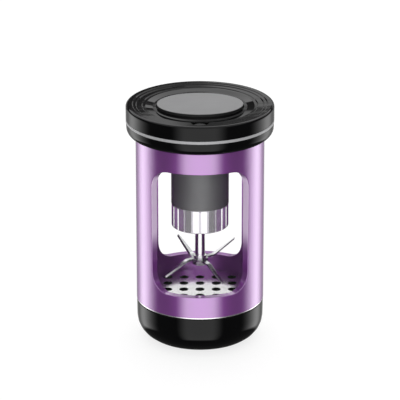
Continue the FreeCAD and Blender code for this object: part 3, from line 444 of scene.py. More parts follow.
def winding():
    """Enamelled copper wire laid side by side, darker in the grooves between turns as
    painted shade.
    """
    finish = Finish("winding")
    wire = (finish.xyz()[2] * 16000.0).wave() * 0.5 + 0.5
    # painted shade: the copper is darker in the grooves between turns, the same wave that bumps
    # it
    return finish.set(
        Base_Color=finish.blend(wire, (0.22, 0.07, 0.02, 1.0), (0.72, 0.30, 0.11, 1.0)),
        Metallic=0.9,
        Roughness=0.28 + wire * 0.1,
        Normal=finish.bump(wire, 0.00012),
    )


def led_body():
    """Small clear-topped lamp over a white reflector."""
    finish = Finish("led_body")
    x, y, _ = finish.xyz()
    lamp_y = -29.7 * MM
    away = x * x + (y - lamp_y) ** 2.0
    chip = 1.0 - away.step_up(2e-7, 6e-7)
    return finish.set(
        Base_Color=finish.blend(chip, (0.8, 0.8, 0.78, 1.0), (0.75, 0.62, 0.2, 1.0)),
        Roughness=0.3 + chip * 0.2,
    )


def smoked_lens():
    """Smoked lens: a clear-coated middle painted a little lighter as a painted highlight, inside
    a near-black border without any reflection, painted shade of the pocket's edge.
    """
    finish = Finish("smoked_lens")
    x, y, _ = finish.xyz()
    low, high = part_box("indicator_lens")
    half_x, half_y = (high[0] - low[0]) / 2, (high[1] - low[1]) / 2
    across, along = x / half_x, (y - (low[1] + half_y)) / half_y
    # painted highlight: the middle is lighter; painted shade: the border round it is near black
    # with no reflection
    middle = 1.0 - (across * across + along * along).step_up(0.35, 0.5)
    cloud = finish.noise(finish.place(), 300.0, 2.0)
    return finish.set(
        Base_Color=finish.blend(middle, (0.0015, 0.0015, 0.0015, 1.0),
                                (0.024, 0.024, 0.025, 1.0)),
        Roughness=0.5 + cloud * 0.12,
        IOR=1.0,
        Coat_Weight=middle,
        Coat_Roughness=0.08,
        Coat_IOR=1.3,
        Normal=finish.bump(cloud, 0.00001),
    )


def make_finishes(colours, sizes):
    """Every finish of the record by its slot name."""
    metals = {
        # base colour, roughness, lines along each axis, scratches, bump, metallic
        "polished_steel": (colours.steel, 0.16, (240.0, 240.0, 240.0), 0.05),
        "blade_steel": (colours.blade, 0.2, (300.0, 300.0, 3000.0), 0.08, 8e-6),
        "chrome_ring": (colours.chrome, 0.22, (90.0, 90.0, 900.0), 0.0, 4e-6, 0.75),
        "satin_trim": (colours.trim, 0.5, (120.0, 120.0, 6000.0), 0.0, 1e-5, 0.25),
        "screw_steel": ((0.55, 0.55, 0.56), 0.28, (900.0, 900.0, 900.0), 0.1),
        "plated_shell": ((0.75, 0.75, 0.76), 0.22, (500.0, 3000.0, 500.0), 0.05),
        "motor_steel": ((0.50, 0.50, 0.51), 0.3, (200.0, 200.0, 5000.0), 0.1, 1e-5),
        "bronze": ((0.60, 0.38, 0.18), 0.35, (1500.0, 1500.0, 1500.0), 0.0, 2e-5),
    }
    mouldings = {
        # base colour, roughness, grain, bump
        "soft_foot": ((0.035, 0.035, 0.036), 0.75, 1800.0, 5e-5),
        "silicone": ((0.10, 0.10, 0.105), 0.45, 900.0, 1e-5),
        "black_moulding": ((0.02, 0.02, 0.021), 0.42),
        "magnet": ((0.06, 0.06, 0.065), 0.55, 3500.0, 3e-5),
        "carbon": ((0.03, 0.03, 0.03), 0.6, 4000.0, 3e-5),
    }
    finishes = {
        "black_gloss": gloss_black(colours.gloss),
        "anodised_sleeve": anodised(colours.sleeve, colours.sleeve_cut_and_highlight, sizes),
        "clear_tube": clear_tube(),
        "brushed_plate": brushed_plate(colours.plate),
        "dark_housing": satin_dark(colours.housing),
        "smoked_lens": smoked_lens(),
        "led_body": led_body(),
        "board": circuit_board(),
        "cell_wrap": cell_wrap(),
        "foam": foam(),
        "winding": winding(),
    }
    finishes.update({name: bare_metal(name, *values) for name, values in metals.items()})
    finishes.update({name: moulded(name, *values) for name, values in mouldings.items()})
    return finishes


FINISHES = {}  # filled by the finishes operator, read by build()
NODE_FINISHES = {
    "black_gloss": ["base_cup", "lid_ring", "lid_cap"],
    "soft_foot": ["foot_ring"],
    "anodised_sleeve": ["window_sleeve"],
    "clear_tube": ["clear_liner"],
    "silicone": ["liner_gasket", "cup_seal", "lid_seal", "return_ring", "motor_damper",
                 "shaft_seal"],
    "polished_steel": ["sieve_plate", "spindle", "blade_collar"],
    "blade_steel": ["upper_blade", "lower_blade"],
    "black_moulding": ["lower_collar", "head_pan", "plate_carrier", "battery_cradle",
                       "motor_end_cap", "tact_switch", "switch_button"],
    "satin_trim": ["trim_ring"],
    "brushed_plate": ["press_plate"],
    "smoked_lens": ["indicator_lens"],
    "led_body": ["status_led"],
    "screw_steel": ["lid_screws", "housing_screws", "motor_screws", "blade_nut",
                    "plunger_clip"],
    "board": ["main_board"],
    "plated_shell": ["charge_port"],
    "cell_wrap": ["battery_cell"],
    "foam": ["battery_pad"],
    "dark_housing": ["motor_housing"],
    "motor_steel": ["motor_can", "motor_shaft"],
    "magnet": ["field_magnets"],
    "carbon": ["motor_brushes"],
    "bronze": ["front_bush", "rear_bush", "commutator"],
    "chrome_ring": ["nose_ring"],
    "winding": ["armature"],
}


# ---------------------------------------------------------------- surfaces
def unit(vectors):
    return vectors / np.maximum(np.linalg.norm(vectors, axis=-1, keepdims=True), 1e-12)


def rounded_section(corners, closed=True):
    """Points along a half section given by (r, z, round) corners in metres.

    Each corner becomes an arc: its centre, plus the round times cos and sin of evenly
    spaced angles between the two tangent points. A guard point stands a quarter of the
    round before and after each arc, so that the faces beside it shade flat.
    """
    corners = np.array(corners, float)
    places, rounds = corners[:, :2], corners[:, 2:]
    way_in = unit(places - np.roll(places, 1, 0))
    way_out = unit(np.roll(places, -1, 0) - places)
    if not closed:
        way_in[0], way_out[-1] = way_out[0], way_in[-1]
    left = np.stack([-way_in[:, 1], way_in[:, 0]], -1)
    bend = np.arctan2((left * way_out).sum(-1), (way_in * way_out).sum(-1))[:, None]
    side = np.sign(bend)
    reach = rounds * np.tan(np.abs(bend) / 2)
    start, end = places - way_in * reach, places + way_out * reach
    centre = start + left * side * rounds
    share = np.linspace(0.0, 1.0, ARC_STEPS)[None, :]
    turn = bend * share
    arm = (start - centre)[:, None, :]
    arc = np.stack([arm[..., 0] * np.cos(turn) - arm[..., 1] * np.sin(turn),
                    arm[..., 0] * np.sin(turn) + arm[..., 1] * np.cos(turn)], -1)
    arc += centre[:, None, :]
    guard = rounds * 0.25
    rows = np.concatenate([(start - way_in * guard)[:, None], arc,
                           (end + way_out * guard)[:, None]], 1)
    return rows.reshape(-1, 2)


def grid_faces(rows, columns, wrap_rows, wrap_columns):
    """Four-cornered faces between neighbours of a grid of points, closed where wrapped."""
    row = np.arange(rows if wrap_rows else rows - 1)[:, None]
    column = np.arange(columns if wrap_columns else columns - 1)[None, :]
    next_row, next_column = (row + 1) % rows, (column + 1) % columns
    faces = np.stack(np.broadcast_arrays(
        row * columns + column, next_row * columns + column,
        next_row * columns + next_column, row * columns + next_column), -1)
    return faces.reshape(-1, 4)


def joined(parts):
    """Several (points, faces) as one, with the face numbers moved on."""
    starts = np.cumsum([0] + [len(points) for points, _ in parts])
    return (np.concatenate([points for points, _ in parts]),
            np.concatenate([faces + start for (_, faces), start in zip(parts, starts)]))


def welded(points, faces):
    """Points that share a place become one, and faces that shrink to nothing are dropped."""
    off_the_cell_edge = 0.37
    keys = np.floor(points / WELD + off_the_cell_edge).astype(np.int64)
    _, first, where = np.unique(keys, axis=0, return_index=True, return_inverse=True)
    faces = where.reshape(-1)[faces]
    points = points[first]
    same_as_next = faces == np.roll(faces, -1, 1)
    count = same_as_next.sum(1)
    quads = faces[count == 0].tolist()
    pinched, flags = faces[count == 1], same_as_next[count == 1]
    triangles = pinched[~flags].reshape(-1, 3).tolist()
    a, b, c = points[faces[:, 0]], points[faces[:, 1]], points[faces[:, 2]]
    d = points[faces[:, 3]]
    volume = (a * np.cross(b, c)).sum() + (a * np.cross(c, d)).sum()
    every = quads + triangles
    return points, [face[::-1] for face in every] if volume < 0 else every


def placed(name, points, faces):
    """A new object in the scene, with points and faces for its mesh."""
    mesh = bpy.data.meshes.new(name)
    mesh.from_pydata(points.tolist(), [], faces)
    mesh.update()
    piece = bpy.data.objects.new(name, mesh)
    bpy.context.collection.objects.link(piece)
    return piece


def build(name, parts, body, slot, replaces, sharp=False):
    """A finished piece: one closed skin, its finish, the body it moves with."""
    piece = placed(name, *welded(*joined(parts)))
    piece.data.shade_smooth()
    if sharp:
        piece.data.set_sharp_from_angle(angle=SHARP_ANGLE)
    piece.data.materials.append(FINISHES[slot])
    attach(piece, body)
    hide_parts(*replaces)
    return piece


def polar(radius, angle, height):
    """Points about Z: radius times cos and sin of the angle, and the height."""
    return np.stack(np.broadcast_arrays(radius * np.cos(angle), radius * np.sin(angle),
                                        height), -1)


def turned(corners, limit=None, steps=TURN_STEPS):
    """A section turned about Z, the same at each of evenly spaced angles. limit, a function
    of angle and height, holds the radius in, as flats and grooves do."""
    section = rounded_section(corners)
    angle = np.linspace(0.0, 2 * math.pi, steps, endpoint=False)[:, None]
    radius, height = section[None, :, 0], section[None, :, 1]
    if limit:
        radius = np.minimum(radius, limit(angle, height))
    points = polar(radius, angle, height)
    return points.reshape(-1, 3), grid_faces(steps, len(section), True, True)


def box_rz(node):
    """Outer radius, foot and top of a round CAD node about the centre line."""
    low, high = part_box(node)
    return max(high[0], high[1]), low[2], high[2]


# ---------------------------------------------------------------- cup and foot
def cup_skin(sizes):
    """The cup's half section, turned: a straight side into one big round, the same inside."""
    outer, foot, rim = box_rz("base_cup")
    foot_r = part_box("foot_ring")[1][0]
    bore = outer - sizes.cup_wall
    floor = foot + sizes.cup_floor
    inner_foot = foot_r - FOOT_WIDTH
    ledge = foot + sizes.foot_groove
    small = 0.1 * MM
    return turned([
        (0, foot, 0), (inner_foot, foot, small), (inner_foot, ledge, small),
        (foot_r, ledge, small), (foot_r, foot, small),
        (outer - sizes.cup_draft, foot, sizes.cup_corner),
        (outer, rim, 0.3 * MM), (bore, rim, 0.3 * MM),
        (bore, floor, sizes.cup_corner - sizes.cup_wall), (0, floor, 0),
    ])


def foot_skin():
    """The foot's section, turned, with grip ribs: the underside is pulled up by a raised
    cosine of the angle, once for each rib, over its middle width."""
    outer, foot, top = box_rz("foot_ring")
    inner = outer - FOOT_WIDTH
    steps = FOOT_RIBS * 8
    margin, rib_depth, rib_width = 0.7 * MM, 0.3 * MM, 1.0 * MM
    section = rounded_section([(inner, foot, 0.5 * MM), (outer, foot, 0.5 * MM),
                               (outer, top, 0.05 * MM), (inner, top, 0.05 * MM)])
    across = np.linspace(0.0, 1.0, 9)[1:-1]
    tread = np.stack([inner + margin + across * (FOOT_WIDTH - 2 * margin),
                      np.full_like(across, foot)], -1)
    first = ARC_STEPS + 2
    section = np.concatenate([section[:first], tread, section[first:]])
    angle = np.linspace(0.0, 2 * math.pi, steps, endpoint=False)[:, None]
    middle = np.exp(-((section[None, :, 0] - (inner + outer) / 2) / rib_width) ** 4)
    under = section[None, :, 1] < foot + 0.02 * MM
    rib = (0.5 - 0.5 * np.cos(FOOT_RIBS * angle)) ** 2 * rib_depth * middle * under
    points = polar(section[None, :, 0], angle, section[None, :, 1] + rib)
    return points.reshape(-1, 3), grid_faces(steps, len(section), True, True)


class GRINDER_OT_cup(bpy.types.Operator):
    """Build the catch cup and its soft foot"""

    bl_idname = "grinder.cup"
    bl_label = "Cup and foot"

    def execute(self, context):
        sizes = context.scene.grinder_sizes
        build("catch_cup_shell", [cup_skin(sizes)], "base", "black_gloss", ["base_cup"])
        build("soft_foot_ring", [foot_skin()], "base", "soft_foot", ["foot_ring"])
        return {"FINISHED"}


# ---------------------------------------------------------------- sleeve
def window_loop(sizes, outset, half_height, middle_r):
    """The window's outline in (angle, height) about its middle, moved outwards by outset.

    Four quarter arcs about the corner centres, joined by straight runs; the second half is
    the first with both signs changed. The second result holds, for each point, its partner
    on a plain rectangle a margin further out.
    """
    round_r = sizes.window_round
    share = np.linspace(0.0, 1.0, 13)
    level = np.linspace(1.0, -1.0, 49)[1:-1]
    upright = np.linspace(1.0, -1.0, 21)[1:-1]
    margin = 2.0 * MM
    a_c, z_c = sizes.window_angle - round_r / middle_r, half_height - round_r
    a_m, z_m = sizes.window_angle + margin / middle_r, half_height + margin
    quarter = share * math.pi / 2
    reach = round_r + outset
    corner = np.stack([a_c + reach / middle_r * np.cos(quarter),
                       z_c + reach * np.sin(quarter)], -1)
    rise, fall = np.minimum(share * 2, 1.0), np.maximum(share * 2 - 1, 0.0)
    square = np.stack([a_m + (a_c - a_m) * fall, z_c + (z_m - z_c) * rise], -1)
    mirror = np.array([-1.0, 1.0])

    def ring(arc, run_z, run_a):
        top = np.stack([a_c * level, np.full_like(level, run_z)], -1)
        side = np.stack([np.full_like(upright, -run_a), z_c * upright], -1)
        half = np.concatenate([arc, top, (arc * mirror)[::-1], side])
        return np.concatenate([half, -half])

    return (ring(corner, z_c + reach, a_c + reach / middle_r), ring(square, z_m, a_m))


def on_tube(radius, turn, flat):
    """(angle, height) laid on a tube, turned about Z."""
    return polar(radius, flat[..., 0] + turn, flat[..., 1])


def sleeve_half(sizes, turn, outer, bore, low, high):
    """Half of the sleeve, with its window: plain wall grids outside and inside, the window's
    rounded edge as a section carried round the outline, and the two end faces."""
    middle_r = (outer + bore) / 2
    sill, head = low + sizes.window_sill, high - sizes.window_head
    middle_z, half_height = (sill + head) / 2, (head - sill) / 2
    lift = np.array([0.0, middle_z])
    _, far = window_loop(sizes, 0.0, half_height, middle_r)
    a_m, z_m = far[:, 0].max(), far[:, 1].max()
    across = np.unique(far[np.isclose(np.abs(far[:, 1]), z_m), 0].round(9))
    along = np.unique(far[np.isclose(np.abs(far[:, 0]), a_m), 1].round(9))
    wall_low, wall_high = low + 0.6 * MM, high - 1.0 * MM
    across = np.concatenate([np.linspace(-math.pi / 2, -a_m, 24)[:-1], across,
                             np.linspace(a_m, math.pi / 2, 24)[1:]])
    heights = np.concatenate([np.linspace(wall_low, middle_z - z_m, 6)[:-1], along + middle_z,
                              np.linspace(middle_z + z_m, wall_high, 6)[1:]])
    flat = np.stack(np.meshgrid(across, heights, indexing="ij"), -1)
    centre = (flat[:-1, :-1] + flat[1:, 1:]) / 2
    solid = ~((np.abs(centre[..., 0]) < a_m) & (np.abs(centre[..., 1] - middle_z) < z_m))
    faces = grid_faces(len(across), len(heights), False, False)[solid.reshape(-1)]
    parts = [(on_tube(outer, turn, flat).reshape(-1, 3), faces),
             (on_tube(bore, turn, flat).reshape(-1, 3), faces[:, ::-1])]

    edge = sizes.window_edge
    guard = edge * 1.3
    bend = np.linspace(0.0, math.pi / 2, 6)
    outset = edge * (1 - np.sin(bend))
    depth = edge * (1 - np.cos(bend))
    near, _ = window_loop(sizes, guard, half_height, middle_r)
    shares = np.linspace(0.0, 1.0, 9)[:-1]
    margins = [far + (near - far) * share + lift for share in shares]
    rows = [on_tube(outer, turn, margin) for margin in margins]
    path = [(outer, guard), *zip(outer - depth, outset),
            (outer - guard, 0.0), (middle_r, 0.0), (bore + guard, 0.0),
            *zip(bore + depth[::-1], outset[::-1]), (bore, guard)]
    for radius, shift in path:
        near, _ = window_loop(sizes, shift, half_height, middle_r)
        rows.append(on_tube(radius, turn, near + lift))
    rows += [on_tube(bore, turn, margin) for margin in margins[::-1]]
    grid = np.stack(rows)
    parts.append((grid.reshape(-1, 3),
                  grid_faces(len(rows), grid.shape[1], False, True)[:, ::-1]))

    chamfer = 0.3 * MM
    ends = [
        [(outer, wall_low, 0), (outer, low + chamfer, 0.1 * MM), (outer - chamfer, low, 0.1 * MM),
         (bore, low, 0.15 * MM), (bore, wall_low, 0)],
        [(bore, wall_high, 0), (bore, high, 0.15 * MM), (outer - 2 * chamfer, high, 0.2 * MM),
         (outer, high - 2 * chamfer, 0.2 * MM), (outer, wall_high, 0)],
    ]
    for corners in ends:
        section = rounded_section(corners, closed=False)
        ring = polar(section[:, 0], across[:, None] + turn, section[:, 1])
        parts.append((ring.reshape(-1, 3),
                      grid_faces(len(across), len(section), False, False)[:, ::-1]))
    return parts


class GRINDER_OT_sleeve(bpy.types.Operator):
    """Build the windowed sleeve and the clear liner in it"""

    bl_idname = "grinder.sleeve"
    bl_label = "Sleeve and liner"

    def execute(self, context):
        sizes = context.scene.grinder_sizes
        outer, low, high = box_rz("window_sleeve")
        bore = outer - sizes.sleeve_wall
        parts = []
        for turn in (-math.pi / 2, math.pi / 2):
            parts += sleeve_half(sizes, turn, outer, bore, low, high)
        build("windowed_sleeve", parts, "sleeve", "anodised_sleeve", ["window_sleeve"])
        outer, low, high = box_rz("clear_liner")
        inner = outer - LINER_WALL
        soft = 0.4 * MM
        tube = turned([(inner, low, soft), (outer, low, soft), (outer, high, soft),
                       (inner, high, soft)])
        build("clear_chamber_tube", [tube], "sleeve", "clear_tube", ["clear_liner"])
        return {"FINISHED"}


# ---------------------------------------------------------------- lid
def cap_skin(outer, low, high):
    """The cap's half section, turned: a rounded shoulder, then four terraces that step down
    inwards over short slopes, a long slope, and the level middle that holds the plate."""
    step_widths = np.array([3.4, 1.8, 3.0, 1.6]) * MM
    drops = np.array([0.32, 0.34, 0.30]) * MM
    run = 0.42 * MM
    soft = 0.12 * MM
    radii = outer - np.cumsum(step_widths)
    levels = high - np.cumsum(drops)
    middle_r = radii[3] - 3.6 * MM
    slope = 0.6 * MM
    well_r = middle_r + 1.4 * MM
    under = high - RECESS_DEPTH - RECESS_FLOOR
    ceiling = low + CAP_CEILING
    bore = outer - CAP_WALL
    top = high
    corners = [(0, under, 0), (well_r, under, soft), (well_r, ceiling, soft),
               (bore, ceiling, soft), (bore, low, soft), (outer, low, 0.15 * MM),
               (outer, top, CAP_ROUND)]
    for radius, level in zip(radii, levels):
        corners += [(radius + run / 2, top, soft), (radius - run / 2, level, soft)]
        top = level
    corners += [(radii[3], top, soft), (middle_r, top - slope, 0.2 * MM),
                (0, top - slope, 0)]
    return turned(corners)


def bar(low_rim, high_rim):
    """A closed bar between two outlines, each end closed to the middle of its outline."""
    rims = [low_rim, high_rim]
    middles = [np.broadcast_to(rim.mean(0), rim.shape) for rim in rims]
    grid = np.stack([middles[0], low_rim, high_rim, middles[1]])
    return grid.reshape(-1, 3), grid_faces(4, len(low_rim), False, True)


def upright_bar(outline, low, high):
    """A bar that stands up from an (x, y) outline."""
    return bar(*[np.column_stack([outline, np.full(len(outline), z)]) for z in (low, high)])


def oval(half_x, half_y, steps=144):
    """An ellipse: half axes times cos and sin of evenly spaced angles."""
    turn = np.linspace(0.0, 2 * math.pi, steps, endpoint=False)
    return np.stack([half_x * np.cos(turn), half_y * np.sin(turn)], -1)


def pick_outline(grow):
    """The lens's outline: a straight back, and two sides that bow out to a point. A side is
    (1-t)^2 times its back corner, 2t(1-t) times a bow point, and t^2 times the point."""
    first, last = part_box("indicator_lens")
    half = (last[0] - first[0]) / 2 + grow
    back, length = last[1] + grow, last[1] - first[1] + 2 * grow
    t = np.linspace(0.0, 1.0, 17)
    side = np.stack([half * ((1 - t) ** 2 + 2.12 * t * (1 - t)),
                     back - length * (1.24 * t * (1 - t) + t ** 2)], -1)
    return np.concatenate([side, (side * np.array([-1.0, 1.0]))[::-1][1:]])


def slot_bar(low, high, half_width, half_height, z):
    """A flat-sided bar along Y with round ends, for the charging socket's mouth."""
    turn = np.linspace(0.0, 2 * math.pi, 48, endpoint=False)
    x = (half_width - half_height) * np.sign(np.cos(turn)) + half_height * np.cos(turn)
    rim = np.stack([x, np.zeros_like(x), half_height * np.sin(turn) + z], -1)
    return bar(rim + np.array([0.0, low, 0.0]), rim + np.array([0.0, high, 0.0]))


def cut(piece, cutters):
    """Takes closed bars out of a piece one after another. After each cut, points that share
    a place become one, so that the next cut starts from a closed skin."""
    for name, part in cutters:
        tool = placed(name, *welded(*part))
        step = piece.modifiers.new(name, "BOOLEAN")
        step.operation = "DIFFERENCE"
        step.solver = "EXACT"
        step.object = tool
        graph = bpy.context.evaluated_depsgraph_get()
        result = bpy.data.meshes.new_from_object(piece.evaluated_get(graph))
        piece.modifiers.clear()
        skin = bmesh.new()
        skin.from_mesh(result)
        bmesh.ops.remove_doubles(skin, verts=skin.verts, dist=WELD)
        skin.to_mesh(result)
        skin.free()
        piece.data = result
        bpy.data.objects.remove(tool)
    piece.data.shade_smooth()
    piece.data.set_sharp_from_angle(angle=SHARP_ANGLE)


class GRINDER_OT_lid(bpy.types.Operator):
    """Build the lid's lower ring, its bright trim and the terraced cap"""

    bl_idname = "grinder.lid"
    bl_label = "Lid"

    def execute(self, context):
        outer, low, high = box_rz("lid_ring")
        seat = box_rz("head_pan")[0] + 0.1 * MM
        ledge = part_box("head_pan")[1][2] - 2.2 * MM
        small = 0.1 * MM
        ring = turned([
            (RING_BORE, low, 0.15 * MM), (outer, low, outer - RING_BORE - 0.3 * MM),
            (outer, high, 0.15 * MM), (seat, high, small), (seat, ledge, small),
            (RING_BORE, ledge, small)])
        build("lid_lower_ring", [ring], "head", "black_gloss", ["lid_ring"])
        outer, low, high = box_rz("trim_ring")
        trim = turned([(seat, low, small), (outer, low, 0.2 * MM), (outer, high, 0.2 * MM),
                       (seat, high, small)])
        build("satin_trim_ring", [trim], "head", "satin_trim", ["trim_ring"])
        outer, low, high = box_rz("lid_cap")
        cap = build("terraced_cap", [cap_skin(outer, low, high)], "head", "black_gloss",
                    ["lid_cap"])
        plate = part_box("press_plate")[1]
        lens_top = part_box("indicator_lens")[1][2]
        port_low, port_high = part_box("charge_port")
        recess_z = high - RECESS_DEPTH
        above, outside = high + 1 * MM, outer + 1 * MM
        cut(cap, [
            ("plate_recess", upright_bar(oval(plate[0] + PLATE_GAP, plate[1] + PLATE_GAP),
                                         recess_z, above)),
            ("plunger_hole", upright_bar(oval(PLUNGER_HOLE_R, PLUNGER_HOLE_R, 48),
                                         recess_z - 2 * MM, recess_z + 0.5 * MM)),
            ("lens_pocket", upright_bar(pick_outline(LENS_GAP), lens_top - LENS_POCKET,
                                        above)),
            ("socket_mouth", slot_bar(outer - CAP_WALL - 1 * MM, outside,
                                      (port_high[0] - port_low[0]) / 2 + SOCKET_GAP,
                                      (port_high[2] - port_low[2]) / 2 + SOCKET_GAP,
                                      (port_high[2] + port_low[2]) / 2)),
        ])
        return {"FINISHED"}


# ---------------------------------------------------------------- nose ring
def fluting(sizes, outer, top):
    """The radius that the flats and grooves allow: a flat's plane is its distance over the
    cosine of the angle from its middle, and a groove is an eased notch between two flats."""
    pitch = 2 * math.pi / sizes.fluting
    half_groove = sizes.flute_groove / 2
    soft = 0.06 * MM

    def limit(angle, height):
        local = np.abs(np.mod(angle + math.pi / 2 + pitch / 2, pitch) - pitch / 2)
        flat = (outer - 0.16 * MM) / np.cos(local - pitch / 2)
        share = np.clip((half_groove + soft - local * outer) / (2 * soft), 0.0, 1.0)
        notch = share * share * (3 - 2 * share)
        held = flat * (1 - notch) + (outer - sizes.flute_depth) * notch
        return np.where(height > top - 0.6 * MM, outer * 2, held)

    return limit


class GRINDER_OT_nose_ring(bpy.types.Operator):
    """Build the fluted chrome ring under the motor"""

    bl_idname = "grinder.nose_ring"
    bl_label = "Nose ring"

    def execute(self, context):
        sizes = context.scene.grinder_sizes
        outer, low, high = box_rz("nose_ring")
        seal = box_rz("shaft_seal")[0]
        small = 0.1 * MM
        ring = turned([
            (seal, low, 0.15 * MM), (outer, low, 1.0 * MM), (outer, high - 0.7 * MM, small),
            (outer, high, small), (outer - 2 * MM, high, small),
            (outer - 2 * MM, low + 1.8 * MM, 0.2 * MM), (seal, low + 1.8 * MM, small),
        ], fluting(sizes, outer, high), sizes.fluting * 24)
        build("fluted_nose_ring", [ring], "head", "chrome_ring", ["nose_ring"], sharp=True)
        return {"FINISHED"}


# ---------------------------------------------------------------- rotor
def blade_arm(sizes, rise, hub_z, turn):
    """One arm: an eight-point section, ground along its leading edge, carried outwards.

    The path lies flat, then climbs: half the slope times the distance past the bend plus
    the root of its square and a small softening. The width tapers, and the tip is a round.
    """
    reach, thickness, nose = BLADE_REACH, BLADE_THICKNESS, 0.8 * MM
    run = np.concatenate([
        np.linspace(2.0 * MM, sizes.blade_flat - 1.5 * MM, 6),
        np.linspace(sizes.blade_flat - 1.2 * MM, sizes.blade_flat + 1.2 * MM, 9),
        np.linspace(sizes.blade_flat + 2 * MM, reach - nose, 10),
        reach - nose + nose * np.sin(np.linspace(0.15, 1.45, 9)),
    ])
    past = run - sizes.blade_flat
    soft = 0.7 * MM
    climb = rise / (reach - sizes.blade_flat) * (past + np.sqrt(past ** 2 + soft ** 2)) / 2
    share = np.clip((run - 4 * MM) / (reach - 4 * MM), 0.0, 1.0)
    tip = np.clip((run - reach + nose) / nose, 0.0, 1.0)
    shrink = np.sqrt(np.maximum(1 - tip ** 2, 0.0))
    half = (sizes.blade_root + (sizes.blade_tip - sizes.blade_root) * share) / 2 * shrink
    bevel = np.minimum(sizes.blade_bevel * shrink, half)
    edge = np.minimum(0.07 * MM, half)
    across = np.stack([-half, -half + edge, half - edge, half, half, half - bevel,
                       -half + edge, -half], -1)
    rim = 0.07 * MM
    up = np.array([rim, 0, 0, rim, 0.25 * MM, thickness, thickness, thickness - rim])
    height = climb[:, None] + up[None, :] + hub_z
    points = np.stack([np.broadcast_to(run[:, None], across.shape), across, height], -1)
    ends = [np.broadcast_to(points[end].mean(0), points[end].shape)[None] for end in (0, -1)]
    points = np.concatenate([ends[0], points, ends[1]])
    cos, sin = math.cos(turn), math.sin(turn)
    spun = np.stack([points[..., 0] * cos - points[..., 1] * sin,
                     points[..., 0] * sin + points[..., 1] * cos, points[..., 2]], -1)
    return spun.reshape(-1, 3), grid_faces(len(points), 8, False, True)


def blade_skin(sizes, node, turn):
    """Both arms, one raised and one lowered, and the round hub between them."""
    low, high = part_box(node)
    rise = (high[2] - low[2] - BLADE_THICKNESS) / 2
    hub_z = (high[2] + low[2] - BLADE_THICKNESS) / 2
    hub_top = hub_z + BLADE_THICKNESS
    bore = box_rz("spindle")[0]
    rim = bore + 1.5 * MM
    small = 0.08 * MM
    hub = turned([(bore, hub_z, small), (rim, hub_z, small), (rim, hub_top, small),
                  (bore, hub_top, small)], steps=64)
    return [blade_arm(sizes, rise, hub_z, turn),
            blade_arm(sizes, -rise, hub_z, turn + math.pi), hub]


class GRINDER_OT_rotor(bpy.types.Operator):
    """Build the spindle, its collar and the two bent blades"""

    bl_idname = "grinder.rotor"
    bl_label = "Spindle and blades"

    def execute(self, context):
        sizes = context.scene.grinder_sizes
        radius, low, high = box_rz("spindle")
        rod = turned([(0, low, 0), (radius, low, 0.4 * MM), (radius, high, 0.4 * MM),
                      (0, high, 0)], steps=96)
        build("polished_spindle", [rod], "rotor", "polished_steel", ["spindle"])
        outer, low, high = box_rz("blade_collar")
        collar = turned([(radius, low, 0.05 * MM), (outer, low, 0.1 * MM),
                         (outer, high, 0.3 * MM), (radius, high, 0.1 * MM)], steps=96)
        build("spindle_collar", [collar], "rotor", "polished_steel", ["blade_collar"])
        build("upper_bent_blade", blade_skin(sizes, "upper_blade", BLADE_TURN), "rotor",
              "blade_steel", ["upper_blade"], sharp=True)
        build("lower_bent_blade",
              blade_skin(sizes, "lower_blade", BLADE_TURN + math.pi / 2), "rotor",
              "blade_steel", ["lower_blade"], sharp=True)
        return {"FINISHED"}


class GRINDER_OT_finishes(bpy.types.Operator):
    """Make every finish and give it to the CAD nodes"""

    bl_idname = "grinder.finishes"
    bl_label = "Finishes"

    def execute(self, context):
        FINISHES.update(make_finishes(context.scene.grinder_colours,
                                      context.scene.grinder_sizes))
        for slot, nodes in NODE_FINISHES.items():
            for node in nodes:
                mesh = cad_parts[node].data
                mesh.materials.clear()
                mesh.materials.append(FINISHES[slot])
        bare = set(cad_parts) - {node for nodes in NODE_FINISHES.values() for node in nodes}
        if bare:
            raise RuntimeError(f"nodes without a finish: {sorted(bare)}")
        return {"FINISHED"}


# ---------------------------------------------------------------- studio
def studio_light():
    """A world that stands for the studio: a soft box in front, dark flags beside it, a white
    sweep at the sides and behind below eye level, and a soft ceiling.

    Angles are in degrees: turn is measured round from the front, rise up from level.
    """
    world = bpy.data.worlds.new("studio")
    world.use_nodes = True
    bpy.context.scene.world = world
    writer = Writer(world.node_tree)
    direction = writer.node("ShaderNodeTexCoord", output="Generated")
    x, y, z = writer.axes(direction)
    turn = x.math("ARCTAN2", x, 0.0 - y).size() * (180.0 / math.pi)
    rise = z.math("ARCSINE", z) * (180.0 / math.pi)
    front = (1.0 - turn.step_up(21.0, 46.0)) * rise.band(-46.0, 30.0, 8.0)
    sweep = turn.step_up(81.0, 123.0) * rise.band(-29.0, -4.0, 6.0)
    sweep = sweep * (1.0 - turn.step_up(122.0, 152.0) * 0.86)
    ceiling = rise.step_up(32.0, 50.0)
    behind = turn.step_up(110.0, 140.0) * rise.band(23.0, 50.0, 1.0)
    horizon = turn.step_up(146.0, 156.0) * rise.band(1.0, 11.0, 3.0)
    # a card behind, seen by the level parts of the lid: its edge runs slanting
    right = x / y.at_least(0.05)
    climb = z / y.at_least(0.05)
    near = (climb + right * 0.69).step_up(0.3229, 0.3245)
    left = 1.0 - right.step_up(-0.013, 0.001)
    card = near * (0.08 + left * 0.62)
    card = card + right.step_up(-0.006, 0.010) * (1.0 - climb.step_up(0.3325, 0.3385)) * 0.75
    card = card * rise.band(16.0, 20.6, 0.6) * turn.step_up(138.0, 165.0)
    dim = 0.07
    level = dim + front * 1.62 + sweep * 2.35 + ceiling * 1.1 + behind * 1.3
    level = level + horizon * 0.4 + card
    seen = writer.node("ShaderNodeLightPath", output="Is Camera Ray")
    level = level * (1.0 - seen) + seen
    background = writer.node("ShaderNodeBackground",
                             inputs={"Color": (1, 1, 1, 1), "Strength": level})
    output = writer.tree.nodes.new("ShaderNodeOutputWorld")
    writer.tree.links.new(background.socket, output.inputs["Surface"])


